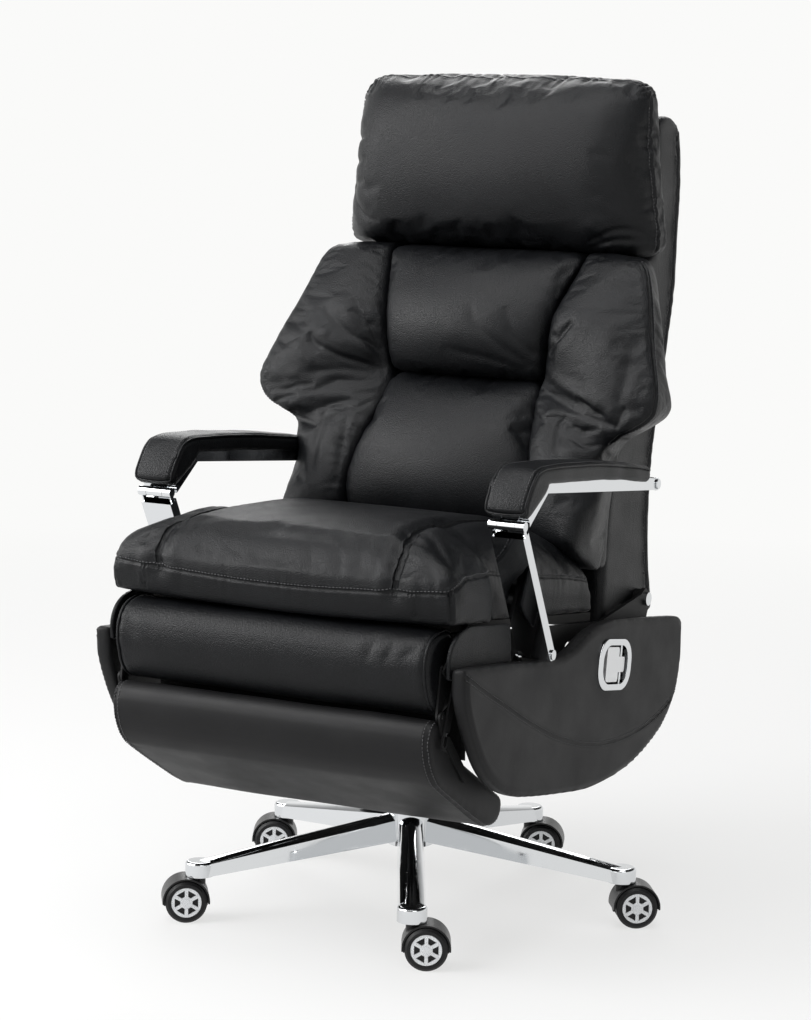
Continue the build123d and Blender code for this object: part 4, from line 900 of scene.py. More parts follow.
def side_form(sign):
    """The block of one side panel, thin at its outer edge and resting on the shell behind."""
    bm = block(cuts=44, radii=(0.09, 0.30, 0.045))
    for vert in bm.verts:
        u, w, v = vert.co
        ix, iy, iz, ox, oy, oz, edge_rear, proud = between(SIDE, (v + 1) / 2)
        t = (u + 1) / 2
        x, z = ix + (ox - ix) * t, iz + (oz - iz) * t
        front = iy + (oy - iy) * t - proud * max(0.0, 1 - u ** 4)
        outside = max(0.0, min(1.0, (x - SHELL_EDGE) / SHELL_EDGE_WIDTH))
        rear = (shell_front(z) - PAD_OVERLAP) * (1 - outside) + edge_rear * outside
        drawn_in = 0.006 * outside * (w + 1) / 2
        vert.co = (sign * (x - drawn_in), front + (rear - front) * (w + 1) / 2, z)
    bmesh.ops.recalc_face_normals(bm, faces=bm.faces[:])
    return bm


# Folds of each side, as width, depth and points: they run from the junction of the seams out over the
# wing, round its notch and down the bolster
SIDE_FOLDS = {
    "left": [
        (0.0090, 0.0060, [(-0.130, 0.143, 0.768), (-0.145, 0.134, 0.797), (-0.187, 0.116, 0.824),
                          (-0.229, 0.129, 0.855)]),
        (0.0070, 0.0036, [(-0.133, 0.142, 0.781), (-0.149, 0.132, 0.825), (-0.167, 0.127, 0.850),
                          (-0.183, 0.135, 0.872)]),
        (0.0080, 0.0066, [(-0.128, 0.143, 0.764), (-0.151, 0.129, 0.773), (-0.194, 0.111, 0.787),
                          (-0.233, 0.106, 0.802), (-0.240, 0.106, 0.808)]),
        (0.0080, 0.0050, [(-0.219, 0.106, 0.794), (-0.233, 0.106, 0.802), (-0.242, 0.109, 0.818)]),
        (0.0100, 0.0034, [(-0.139, 0.137, 0.763), (-0.183, 0.115, 0.766), (-0.224, 0.104, 0.762),
                          (-0.255, 0.097, 0.756)]),
        (0.0060, 0.0040, [(-0.225, 0.096, 0.742), (-0.245, 0.094, 0.740), (-0.269, 0.089, 0.733),
                          (-0.300, 0.087, 0.731)]),
        (0.0050, 0.0034, [(-0.247, 0.089, 0.724), (-0.266, 0.086, 0.722), (-0.292, 0.085, 0.713)]),
        (0.0070, 0.0080, [(-0.266, 0.091, 0.696), (-0.237, 0.084, 0.689), (-0.210, 0.076, 0.683)]),
        (0.0130, 0.0044, [(-0.205, 0.090, 0.712), (-0.200, 0.073, 0.680), (-0.201, 0.056, 0.648),
                          (-0.195, 0.040, 0.600)]),
        (0.0100, 0.0026, [(-0.165, 0.095, 0.720), (-0.160, 0.073, 0.681), (-0.158, 0.056, 0.646),
                          (-0.157, 0.045, 0.600)])],
    "right": [
        (0.0075, 0.0100, [(0.122, 0.144, 0.759), (0.155, 0.121, 0.748), (0.199, 0.102, 0.731),
                          (0.232, 0.092, 0.724), (0.261, 0.085, 0.718), (0.280, 0.084, 0.714)]),
        (0.0070, 0.0050, [(0.205, 0.106, 0.752), (0.240, 0.094, 0.733), (0.268, 0.085, 0.718)]),
        (0.0050, 0.0040, [(0.272, 0.084, 0.712), (0.278, 0.088, 0.728), (0.285, 0.090, 0.744)]),
        (0.0150, 0.0040, [(0.270, 0.091, 0.730), (0.278, 0.093, 0.768), (0.280, 0.102, 0.795),
                          (0.282, 0.129, 0.850)]),
        (0.0060, 0.0030, [(0.140, 0.135, 0.806), (0.152, 0.130, 0.820), (0.168, 0.124, 0.840),
                          (0.184, 0.129, 0.864)]),
        (0.0080, 0.0044, [(0.192, 0.099, 0.726), (0.182, 0.090, 0.704), (0.191, 0.067, 0.664)]),
        (0.0090, 0.0050, [(0.190, 0.093, 0.708), (0.218, 0.091, 0.704), (0.250, 0.086, 0.712)]),
        (0.0060, 0.0030, [(0.200, 0.083, 0.696), (0.228, 0.080, 0.684), (0.252, 0.088, 0.690)])],
}


class CHAIR_OT_sides(bpy.types.Operator):
    """Both sides of the back: shoulder wing and lower bolster under one cover"""
    bl_idname = "chair.sides"
    bl_label = "Back sides"

    def execute(self, context):
        for side, sign in (("right", 1), ("left", -1)):
            cover = remesh(piece_object(f"back_side_{side}_cover", side_form(sign)), voxel=0.0042)
            relax(cover, rounds=3)
            edge = [(sign * row[4], row[5] + 0.001, row[6]) for row in SIDE if row[0] > NOTCH]
            inner = smooth_line([(sign * row[1], row[2] + 0.004, row[3]) for row in SIDE])
            skin = surface(cover)
            edge_line, _ = laid_on(skin, edge)
            held = {index for line, reach in ((edge_line, 0.010), (inner, 0.012))
                    for index, _, _ in along(cover, line, reach)}
            held.update(i for i, p in enumerate(mesh_coords(cover.data))
                        if abs(p[0]) < 0.24 and p[1] > shell_front(p[2]) - HELD_DEPTH)
            swell(cover, cap=0.008, pinned=sorted(held), spare=0.015)
            subdivide(cover)
            skin = surface(cover)
            edge_line, _ = laid_on(skin, edge)
            refine(cover, [edge_line])
            for width, depth, points in SIDE_FOLDS[side]:
                creases(cover, skin, [points], width, depth)
            gathers(cover, inner, reach=0.030, height=0.0008, spacing=0.030, seed=25 + sign)
            groove(cover, edge_line, width=0.0022, depth=0.0026, shoulder=0.2)
            gathers(cover, edge_line, reach=0.014, height=0.0005, spacing=0.022, seed=29 + sign)
            ripple(cover, height=0.0026, size=0.10, seed=31 + sign)
            dress(cover, "back", "leather", (f"wing_{side}", f"bolster_{side}"))
            skin = surface(cover)
            runs = [laid_on(skin, [(p.x + sign * 0.003, p.y + 0.005, p.z) for p in edge_line[::5]])]
            stitches(f"back_side_{side}_stitching", runs, "back")
        return {"FINISHED"}


# z, half width, front y at the middle, how far the ends fall back
HEADREST = [(0.948, 0.248, 0.240, 0.006), (0.965, 0.256, 0.208, 0.016), (1.000, 0.254, 0.190, 0.022),
            (1.060, 0.247, 0.180, 0.024), (1.120, 0.241, 0.186, 0.022), (1.165, 0.237, 0.204, 0.018),
            (1.190, 0.232, 0.228, 0.012), (1.203, 0.224, 0.254, 0.006)]
# the seam round the headrest's rim from the foot of its right end to the middle of its top
HEADREST_SEAM = [(0.252, 0.258, 0.955), (0.258, 0.256, 1.02), (0.250, 0.254, 1.09), (0.243, 0.258, 1.16),
                 (0.224, 0.264, 1.194), (0.15, 0.262, 1.204), (0.0, 0.260, 1.210)]
HEADREST_FOOT = [(-0.25, 0.235, 0.95), (-0.1, 0.225, 0.948), (0.1, 0.225, 0.948), (0.25, 0.235, 0.95)]
HEADREST_FOLDS = [
    [(0.155, 0.215, 0.962), (0.201, 0.209, 0.985), (0.233, 0.230, 0.985), (0.258, 0.253, 0.965)],
    [(0.165, 0.218, 0.956), (0.205, 0.215, 0.971), (0.248, 0.242, 0.969)],
    [(-0.240, 0.230, 1.030), (-0.227, 0.223, 1.013), (-0.207, 0.210, 0.992), (-0.175, 0.204, 0.985)],
    [(-0.240, 0.240, 1.100), (-0.225, 0.230, 1.103), (-0.192, 0.205, 1.109)],
    [(-0.240, 0.235, 1.066), (-0.193, 0.198, 1.076)],
    [(-0.240, 0.230, 1.032), (-0.199, 0.200, 1.044)]]


def headrest_form(vert):
    """Lays a block's point into the headrest: a pillow whose ends fall back and whose top sags."""
    low, high = HEADREST[0][0], HEADREST[-1][0]
    u, w, v = vert.co
    z = low + (v + 1) / 2 * (high - low)
    half, front, fall = between(HEADREST, z)
    front += fall * u * u
    front += 0.80 * max(0.0, 0.262 - front) * (max(0.0, abs(u) - 0.72) / 0.28) ** 2
    sag = 0.008 * (1 - u * u) * max(0.0, v)
    vert.co = (u * half, front + (HEADREST_REAR - front) * (w + 1) / 2, z + sag - 0.004)


class CHAIR_OT_headrest(bpy.types.Operator):
    """Headrest pillow, gathered along its top and ends"""
    bl_idname = "chair.headrest"
    bl_label = "Headrest"

    def execute(self, context):
        bm = block(cuts=34, radii=(0.11, 0.42, 0.10))
        for vert in bm.verts:
            headrest_form(vert)
        pad = remesh(piece_object("headrest_cover", bm))
        relax(pad, rounds=4)
        places = mesh_coords(pad.data)
        pinned = np.where(places[:, 1] > HEADREST_REAR - 0.012)[0]
        swell(pad, cap=0.007, pinned=pinned, spare=0.02)
        subdivide(pad)
        skin = surface(pad)
        line, _ = laid_on(skin, HEADREST_SEAM + mirror_line(reversed(HEADREST_SEAM[:-1])))
        refine(pad, [line])
        groove(pad, line, width=0.0024, depth=0.0028, shoulder=0.2)
        gathers(pad, line, reach=0.026, height=0.0016, spacing=0.018, seed=51)
        gathers(pad, smooth_line(HEADREST_FOOT), reach=0.03, height=0.0008, spacing=0.040, seed=53)
        creases(pad, skin, HEADREST_FOLDS, width=0.0075, depth=0.0034)
        ripple(pad, height=0.0018, size=0.14, seed=55, stretch=(1, 1, 1.6))
        dress(pad, "back", "leather", ("headrest",))
        skin = surface(pad)
        ends = [[p for p in line if sign * p.x > 0.2 and p.z < 1.18] for sign in (1, -1)]
        runs = [laid_on(skin, [(p.x, p.y - 0.004, p.z) for p in end[::5]]) for end in ends]
        stitches("headrest_stitching", runs, "back")
        return {"FINISHED"}


# the shell's side outline as (y, z): from its top down the rear and under, and up the front again
SHELL_REAR = [(0.300, 1.142), (0.330, 1.149), (0.360, 1.147), (0.382, 1.132), (0.393, 1.100), (0.398, 1.030),
              (0.392, 0.940), (0.382, 0.870), (0.352, 0.760), (0.326, 0.660), (0.316, 0.560), (0.322, 0.480),
              (0.333, 0.425), (0.330, 0.410), (0.316, 0.4055), (0.240, 0.405), (0.160, 0.405), (0.144, 0.408),
              (0.140, 0.416)]
SHELL_FRONT = [(0.150, 0.560), (0.182, 0.700), (0.262, 0.938), (0.2955, 0.946), (0.2962, 1.120)]
# how far the rear's middle is rounded out, and the height of the piping's top
SHELL_CROWN = 0.006
PIPING_TOP = 1.136


class CHAIR_OT_back_shell(bpy.types.Operator):
    """Upholstered shell behind the pads, with piped side seams"""
    bl_idname = "chair.back_shell"
    bl_label = "Back shell"

    def execute(self, context):
        rear = smooth_line([(0, y, z) for y, z in SHELL_REAR], 0.012)
        outline = [(p.y, p.z) for p in rear] + SHELL_FRONT
        bm = slab(outline, -BACK_HALF_WIDTH, BACK_HALF_WIDTH, bevel=0.012, segments=4)
        shell = remesh(piece_object("back_shell_cover", bm))
        relax(shell, rounds=3)
        places = mesh_coords(shell.data)
        for i, (x, y, z) in enumerate(places):
            middle = max(0.0, 1 - (x / BACK_HALF_WIDTH) ** 2)
            if y > 0.30 and z > 0.42:
                places[i][1] += SHELL_CROWN * middle * min(1.0, (y - 0.30) / 0.02)
        set_coords(shell.data, places)
        piped = [p for p in rear if p.z > 0.44]
        for sign in (1, -1):
            line = [Vector((sign * (BACK_HALF_WIDTH - 0.001), p.y - 0.022 if p.z < 1.13 else p.y,
                            min(p.z, PIPING_TOP)))
                    for p in piped if p.z < PIPING_TOP + 0.001]
            refine(shell, [line])
            groove(shell, line, width=0.003, depth=0.0034)
            gathers(shell, line, reach=0.02, height=0.0006, spacing=0.03, seed=61 + sign)
        ripple(shell, height=0.0025, size=0.14, seed=63)
        dress(shell, "back", "leather", ("back_shell",))
        runs = []
        skin = surface(shell)
        for sign in (1, -1):
            line = [(sign * (BACK_HALF_WIDTH + 0.001), p.y - 0.028, p.z) for p in piped if 0.46 < p.z < 1.10]
            runs.append(laid_on(skin, line[::3]))
        stitches("shell_stitching", runs, "back")
        return {"FINISHED"}


# ---------------------------------------------------------------- footrest
# side outlines of the roll and the lower panel as (y, z)
ROLL = [(-0.345, 0.470), (-0.348, 0.483), (-0.364, 0.4905), (-0.385, 0.4895), (-0.404, 0.483),
        (-0.416, 0.470), (-0.4215, 0.452), (-0.420, 0.430), (-0.411, 0.404), (-0.398, 0.388),
        (-0.380, 0.3795), (-0.360, 0.381), (-0.348, 0.388), (-0.345, 0.402), (-0.345, 0.436),
        (-0.345, 0.470)]
PANEL = [(-0.376, 0.356), (-0.383, 0.3705), (-0.397, 0.3760), (-0.411, 0.3705), (-0.4190, 0.354),
         (-0.418, 0.333), (-0.410, 0.3115), (-0.398, 0.2945), (-0.380, 0.2795), (-0.305, 0.2345),
         (-0.249, 0.2035), (-0.223, 0.1985), (-0.206, 0.205), (-0.198, 0.218), (-0.200, 0.233),
         (-0.225, 0.249), (-0.290, 0.289), (-0.345, 0.3225), (-0.364, 0.335), (-0.376, 0.356)]
# the part of each outline that its end seams follow, over the front from the top to the foot
ROLL_FACE = ROLL[1:13]
PANEL_FACE = PANEL[2:13]
# x of the roll's end and of its welt, and of the panel's end, its seam and the two stitched rows beside it
ROLL_END, ROLL_WELT = 0.2418, 0.2375
PANEL_END, PANEL_SEAM, PANEL_ROWS = 0.2462, 0.2400, (0.2355, 0.2445)
ROLL_FOLDS = [[(0.163, -0.41, 0.492), (0.158, -0.43, 0.472), (0.150, -0.43, 0.448)],
              [(0.190, -0.42, 0.482), (0.184, -0.43, 0.466), (0.178, -0.43, 0.450)],
              [(0.225, -0.42, 0.478), (0.210, -0.43, 0.468), (0.200, -0.43, 0.455)],
              [(-0.228, -0.42, 0.470), (-0.215, -0.43, 0.455), (-0.205, -0.43, 0.440)]]


def bolster_slab(name, outline, half, bevel, crown):
    """A long soft piece across the chair, its faces a little crowned and its ends drawn in."""
    bm = slab(profile(outline, step=0.008), -half, half, bevel, segments=4)
    piece = remesh(piece_object(name, bm), voxel=0.0045)
    relax(piece, rounds=3)
    places, normals = mesh_coords(piece.data), mesh_normals(piece.data)
    for i, (x, y, z) in enumerate(places):
        t = abs(x) / half
        places[i] += normals[i] * crown * (1 - t ** 4) * min(1.0, (1 - t) / 0.04)
    set_coords(piece.data, places)
    return piece


class CHAIR_OT_footrest(bpy.types.Operator):
    """Footrest roll and lower panel with piped ends"""
    bl_idname = "chair.footrest"
    bl_label = "Footrest"

    def execute(self, context):
        roll = bolster_slab("footrest_roll_cover", ROLL, ROLL_END, bevel=0.008, crown=0.0012)
        ripple(roll, height=0.0018, size=0.10, seed=71)
        skin = surface(roll)
        creases(roll, skin, ROLL_FOLDS, width=0.0060, depth=0.0022)
        for side, sign in (("right", 1), ("left", -1)):
            seam, _ = laid_on(skin, [(sign * ROLL_WELT, y, z) for y, z in ROLL_FACE])
            groove(roll, seam, width=0.0040, depth=0.0016)
            gathers(roll, seam, reach=0.012, height=0.0007, spacing=0.020, seed=72 + sign)
            welt = tube(f"footrest_roll_welt_{side}", seam[::3], settings().piping_radius * 0.75)
            dress(welt, "footrest", "leather")
        dress(roll, "footrest", "leather", ("footrest_roll",))
        panel = bolster_slab("footrest_panel_cover", PANEL, PANEL_END, bevel=0.007, crown=0.001)
        ripple(panel, height=0.0014, size=0.12, seed=75)
        skin = surface(panel)
        runs = []
        for sign in (1, -1):
            seam, _ = laid_on(skin, [(sign * PANEL_SEAM, y, z) for y, z in PANEL_FACE])
            groove(panel, seam, width=0.0024, depth=0.0020, shoulder=0.2)
            gathers(panel, seam, reach=0.012, height=0.0006, spacing=0.020, seed=76 + sign)
            runs += [laid_on(skin, [(sign * x, y, z) for y, z in PANEL_FACE]) for x in PANEL_ROWS]
        dress(panel, "foot_panel", "skirt leather", ("footrest_panel",))
        stitches("panel_stitching", runs, "foot_panel")
        return {"FINISHED"}


# ---------------------------------------------------------------- skirts
# the skirt's outline and its stitched seam as (y, z)
SKIRT = [(-0.4005, 0.448), (-0.330, 0.4405), (-0.240, 0.4305), (-0.160, 0.4195), (-0.120, 0.4155),
         (-0.090, 0.4165), (-0.062, 0.4215), (-0.036, 0.4295), (-0.010, 0.4365), (0.024, 0.4405),
         (0.085, 0.4395), (0.193, 0.4255), (0.290, 0.4125), (0.308, 0.4085), (0.319, 0.399),
         (0.3205, 0.378), (0.3185, 0.346), (0.305, 0.305), (0.276, 0.270), (0.240, 0.247),
         (0.180, 0.226), (0.110, 0.213), (0.0, 0.2105), (-0.103, 0.222), (-0.194, 0.237),
         (-0.250, 0.250), (-0.300, 0.272), (-0.338, 0.303), (-0.366, 0.3405), (-0.388, 0.382),
         (-0.3985, 0.412), (-0.4005, 0.448)]
SKIRT_SEAM = [(-0.398, 0.438), (-0.352, 0.413), (-0.271, 0.373), (-0.187, 0.333), (-0.112, 0.303),
              (-0.028, 0.279), (0.051, 0.267), (0.133, 0.264), (0.210, 0.271), (0.275, 0.288),
              (0.306, 0.306)]
# how far the skirt's face is rounded out, and half the distance between the seam's two stitched rows
SKIRT_CROWN = 0.0016
SEAM_ROW_OFFSET = 0.0028
CUP_CENTRE = (0.066, 0.377)
CUP_SLOPE = math.radians(-9.0)
# length, height and corner radius of the skirt's opening for the handle cup
CUP_OPENING = (0.101, 0.063, 0.027)


def cup_outline():
    """The opening's rounded outline as (y, z) points."""
    length, height, radius = CUP_OPENING
    points = []
    for k in range(48):
        turn = 2 * math.pi * k / 48
        y = math.copysign(length / 2 - radius, math.cos(turn)) + radius * math.cos(turn)
        z = math.copysign(height / 2 - radius, math.sin(turn)) + radius * math.sin(turn)
        points.append((CUP_CENTRE[0] + y * math.cos(CUP_SLOPE) - z * math.sin(CUP_SLOPE),
                       CUP_CENTRE[1] + y * math.sin(CUP_SLOPE) + z * math.cos(CUP_SLOPE)))
    return points


def cut(obj, outline, x0, x1):
    """Cuts an opening of the outline's shape through a piece along X."""
    cutter = piece_object("cutter", slab(outline, x0, x1))
    modifier = obj.modifiers.new("opening", "BOOLEAN")
    modifier.operation = "DIFFERENCE"
    modifier.object = cutter
    bake(obj)
    bpy.data.objects.remove(cutter)


class CHAIR_OT_skirts(bpy.types.Operator):
    """Boat-shaped side skirts with a double stitched line"""
    bl_idname = "chair.skirts"
    bl_label = "Side skirts"

    def execute(self, context):
        outline = profile(SKIRT, step=0.008)
        for side, sign in (("right", 1), ("left", -1)):
            bm = slab(outline, SKIRT_INNER, SKIRT_OUTER - 0.001, bevel=0.006, segments=3)
            skirt = piece_object(f"skirt_{side}_cover", bm)
            if side == "right":
                cut(skirt, cup_outline(), SKIRT_INNER - 0.01, SKIRT_OUTER + 0.01)
            remesh(skirt, voxel=0.004)
            relax(skirt, rounds=3)
            places = mesh_coords(skirt.data)
            for i, (x, y, z) in enumerate(places):
                if x > SKIRT_OUTER - 0.012:
                    t = min(1.0, abs(y + 0.03) / 0.37)
                    places[i][0] += SKIRT_CROWN * (1 - t ** 4)
            set_coords(skirt.data, places)
            skin = surface(skirt)
            seam, _ = laid_on(skin, [(SKIRT_OUTER + 0.002, y, z) for y, z in SKIRT_SEAM])
            groove(skirt, seam, width=0.0022, depth=0.0020, shoulder=0.3)
            rim = [Vector((SKIRT_OUTER - 0.0015, y * 0.985, 0.33 + (z - 0.33) * 0.965)) for y, z in outline]
            groove(skirt, rim, width=0.0025, depth=0.0016, shoulder=0.2)
            ripple(skirt, height=0.0014, size=0.16, seed=81 + sign)
            runs = []
            skin = surface(skirt)
            for offset in (-SEAM_ROW_OFFSET, SEAM_ROW_OFFSET):
                row = [(SKIRT_OUTER + 0.002, y, z + offset) for y, z in SKIRT_SEAM]
                runs.append(laid_on(skin, row))
            thread = stitches(f"skirt_{side}_stitching", runs, "seat", radius=0.0006)
            if sign < 0:
                for obj in (skirt, thread):
                    flip(obj)
            dress(skirt, "seat", "skirt leather", (f"skirt_{side}",))
        return {"FINISHED"}


# ---------------------------------------------------------------- side pads and dust cloth
# outlines of the side pads and of the band across the frame as (y, z)
SIDE_PAD = [(-0.2175, 0.4245), (-0.300, 0.4270), (-0.390, 0.4300), (-0.3985, 0.4360), (-0.4005, 0.4480),
            (-0.3975, 0.4640), (-0.3880, 0.4780), (-0.3700, 0.4885), (-0.3400, 0.4935), (-0.3000, 0.4892),
            (-0.2600, 0.4844), (-0.2300, 0.4806), (-0.2200, 0.4740), (-0.2168, 0.4400), (-0.2175, 0.4245)]
SIDE_PAD_INNER, SIDE_PAD_OUTER = 0.2568, 0.2634
SIDE_PAD_MIDDLE = -0.31
BAND = [(-0.3080, 0.4625), (-0.3000, 0.4625), (-0.3000, 0.4880), (-0.3080, 0.4880)]
FRAME_HALF_WIDTH = 0.2405
CLOTH_TOP, CLOTH_FOOT = 0.4600, 0.3040
CLOTH_Y = -0.3040
CLOTH_HALF_WIDTH = 0.2400
CLOTH_SAG = 0.004
CLOTH_THICKNESS = 0.0008


class CHAIR_OT_side_pads(bpy.types.Operator):
    """Leather pads in front of the arm posts, the band behind the roll and the dust cloth under it"""
    bl_idname = "chair.side_pads"
    bl_label = "Side pads"

    def execute(self, context):
        outline = profile(SIDE_PAD, step=0.005)
        pad = piece_object("pad", slab(outline, SIDE_PAD_INNER, SIDE_PAD_OUTER, bevel=0.0022, segments=3))
        remesh(pad, voxel=0.0022)
        relax(pad, rounds=2)
        skin = surface(pad)
        hem = [(SIDE_PAD_INNER - 0.002, y + (SIDE_PAD_MIDDLE - y) * 0.08, z - 0.0075)
               for y, z in SIDE_PAD[3:12]]
        rows = [laid_on(skin, [(x, y, z - drop) for x, y, z in hem]) for drop in (0.0, 0.0045)]
        for row, _ in rows:
            groove(pad, row, width=0.0014, depth=0.0009)
        thread = stitches("side_pad_stitching", rows, "seat", radius=0.0006)
        bm = bmesh.new()
        bm.from_mesh(pad.data)
        flip(pad)
        bm.from_mesh(pad.data)
        bpy.data.objects.remove(pad)
        band = piece_object("band", slab(BAND, -FRAME_HALF_WIDTH, FRAME_HALF_WIDTH, bevel=0.002, segments=3))
        bm.from_mesh(band.data)
        bpy.data.objects.remove(band)
        cover = piece_object("side_pads_cover", bm)
        dress(cover, "seat", "leather", ("seat_apron",))
        whole = bmesh.new()
        whole.from_mesh(thread.data)
        flip(thread)
        whole.from_mesh(thread.data)
        whole.to_mesh(thread.data)
        whole.free()
        self.cloth()
        return {"FINISHED"}

    def cloth(self):
        """The cloth that closes the frame's front, from the band down to just above the panel."""
        bm = bmesh.new()
        bmesh.ops.create_grid(bm, x_segments=40, y_segments=12, size=1.0)
        height = CLOTH_TOP - CLOTH_FOOT
        for vert in bm.verts:
            x, v, _ = vert.co
            sag = CLOTH_SAG * noise.noise(Vector((x * 2.0, v * 1.5, 4.0))) * (1 - v * v)
            vert.co = (x * CLOTH_HALF_WIDTH, CLOTH_Y + sag, CLOTH_FOOT + (v + 1) / 2 * height)
        cloth = piece_object("dust_cloth", bm)
        solid = cloth.modifiers.new("thickness", "SOLIDIFY")
        solid.thickness = CLOTH_THICKNESS
        bake(cloth)
        dress(cloth, "seat", "dust cloth")


# ---------------------------------------------------------------- arm pads
# the pad's side outline as (y, z), and the part of it that the welts follow, round the top and the nose
PAD_SIDE = [(-0.2680, 0.6330), (-0.2625, 0.6302), (-0.2545, 0.6300), (-0.2130, 0.6520), (-0.1990, 0.6630),
            (-0.1930, 0.6670), (-0.1850, 0.6680), (0.0, 0.6515), (0.1310, 0.6330), (0.1370, 0.6350),
            (0.1395, 0.6420), (0.1375, 0.6520), (0.1280, 0.6555), (0.0700, 0.6655), (-0.0450, 0.6805),
            (-0.1560, 0.6900), (-0.1950, 0.6925), (-0.2180, 0.6925), (-0.2360, 0.6885),
            (-0.2500, 0.6770), (-0.2640, 0.6590), (-0.2720, 0.6450), (-0.2720, 0.6380), (-0.2680, 0.6330)]
PAD_TOP = PAD_SIDE[11:23]
# how far the covered pad is wider than its board on either side, and how far its top is rounded out
PAD_COVER = 0.0045
PAD_CROWN = 0.003
# distances of the welt from the pad's edge and of the stitches from the welt
WELT_INSET = 0.001
STITCH_INSET = 0.006


class CHAIR_OT_arm_pads(bpy.types.Operator):
    """Arm pads with a welt round the top"""
    bl_idname = "chair.arm_pads"
    bl_label = "Arm pads"

    def execute(self, context):
        outline = profile(PAD_SIDE, step=0.005)
        low, high = ARM_INNER - PAD_COVER, ARM_OUTER + PAD_COVER
        inner, outer = low + WELT_INSET, high - WELT_INSET
        for side, sign in (("right", 1), ("left", -1)):
            bm = slab(outline, low, high, bevel=0.006, segments=4)
            pad = remesh(piece_object(f"arm_pad_{side}_cover", bm), voxel=0.0032)
            relax(pad, rounds=3)
            middle = (ARM_INNER + ARM_OUTER) / 2
            places, normals = mesh_coords(pad.data), mesh_normals(pad.data)
            for i, (x, y, z) in enumerate(places):
                if normals[i][2] > 0.3 or normals[i][1] < -0.6:
                    t = min(1.0, abs(x - middle) / 0.031)
                    places[i] += normals[i] * PAD_CROWN * (1 - t * t)
            set_coords(pad.data, places)
            ripple(pad, height=0.0012, size=0.05, seed=91 + sign)
            skin = surface(pad)
            loop = [(inner, y, z - 0.002) for y, z in PAD_TOP]
            loop += [(outer, y, z - 0.002) for y, z in reversed(PAD_TOP)]
            edge, _ = laid_on(skin, loop + loop[:1])
            groove(pad, edge, width=0.0030, depth=0.0012)
            welt = tube(f"arm_pad_{side}_welt", edge[:-1:3], settings().piping_radius * 0.7, closed=True)
            runs = [laid_on(skin, [(x, y, z + 0.002) for y, z in PAD_TOP])
                    for x in (inner + STITCH_INSET, outer - STITCH_INSET)]
            thread = stitches(f"arm_pad_{side}_stitching", runs, f"arm_{side}", radius=0.0006)
            if sign < 0:
                for obj in (pad, welt, thread):
                    flip(obj)
            dress(welt, f"arm_{side}", "leather")
            dress(pad, f"arm_{side}", "leather", (f"arm_pad_{side}",))
        return {"FINISHED"}


# ---------------------------------------------------------------- carried-over nodes
# finish of each node that keeps its CAD shape
CARRIED = {
    "chrome": ("star_base", "arm_rail_right", "arm_rail_left", "arm_post_right", "arm_post_left",
               "hinge_pin_right", "hinge_pin_left", "handle_pin", "seat_pins", "arm_rods", "panel_pins"),
    "cup": ("handle_cup",),
    "paddle": ("recline_handle",),
    "black paint": ("column_tube", "tilt_housing", "seat_frame", "back_frame", "swing_plates", "panel_plates",
                    "flip_links", "height_lever"),
    "piston": ("column_piston",),
    "plywood": ("seat_board", "roll_board"),
    "nylon": tuple(f"caster_hood_{i}" for i in range(1, 6)),
    "steel": tuple(f"caster_pins_{i}" for i in range(1, 6)),
    "tread": tuple(f"caster_wheels_{i}" for i in range(1, 6)),
    "silver": tuple(f"caster_caps_{i}" for i in range(1, 6)),
}


class CHAIR_OT_metalwork(bpy.types.Operator):
    """Finishes of the frame, linkage, column and casters that keep their CAD shape"""
    bl_idname = "chair.metalwork"
    bl_label = "Metalwork"

    def execute(self, context):
        for name, nodes in CARRIED.items():
            for node in nodes:
                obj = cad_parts[node]
                obj.data.materials.clear()
                obj.data.materials.append(finish(name))
        return {"FINISHED"}


# ---------------------------------------------------------------- stage
CAMERA_PLACE = Vector((2.05780369, -3.90911068, 1.24678358))
CAMERA_RIGHT = Vector((0.88189509, 0.47113478, 0.01711922))
CAMERA_UP = Vector((-0.08493731, 0.12306253, 0.98875744))
CAMERA_FORWARD = Vector((-0.46373128, 0.87343439, -0.14854516))
# a 36 mm sensor as tall as the view's 1020 pixels, with a focal length of 3100 pixels
SENSOR_WIDTH = 36.0
CAMERA_LENS = 3100 * SENSOR_WIDTH / 1020
# the part of its white that the floor shows whatever falls on it, as on an overexposed studio floor
FLOOR_GLOW = 0.72
FLOOR_RADIUS = 30.0
LAMP_AIM = Vector((0.0, 0.0, 0.75))
# distances from the chair between which the floor goes over to the white of the studio's walls
GLOW_NEAR, GLOW_FAR = 1.1, 3.6
STUDIO_WHITE = "#fafaf9"
# sine of the height up to which the walls are white, and at which they have gone over to the dark ceiling
WALL_TOP, CEILING_FOOT = 0.22, 0.55
CEILING_LIGHT = 0.03
# name, place, side length and power of each lamp: a strong one high on the left, a lower one for the left
# edges, weak fills on the right and in front, one overhead and one behind
LAMPS = (
    ("softbox_left", (-2.4, -2.6, 3.0), 2.2, 145),
    ("softbox_side", (-3.0, -1.2, 1.6), 2.0, 70),
    ("softbox_right", (2.6, -2.4, 2.6), 2.0, 22),
    ("softbox_low", (-1.6, -3.6, 1.2), 1.8, 10),
    ("softbox_top", (0.0, -0.7, 3.6), 3.0, 120),
    ("softbox_rear", (-1.8, 3.2, 2.6), 2.2, 60),
)


def softbox(name, place, size, power):
    """A square lamp that faces the chair's middle."""
    light = bpy.data.lights.new(name, "AREA")
    light.shape = "RECTANGLE"
    light.size = light.size_y = size
    light.energy = power
    obj = bpy.data.objects.new(name, light)
    obj.location = place
    obj.rotation_euler = (LAMP_AIM - Vector(place)).to_track_quat("-Z", "Y").to_euler()
    obj.visible_camera = False
    bpy.context.scene.collection.objects.link(obj)


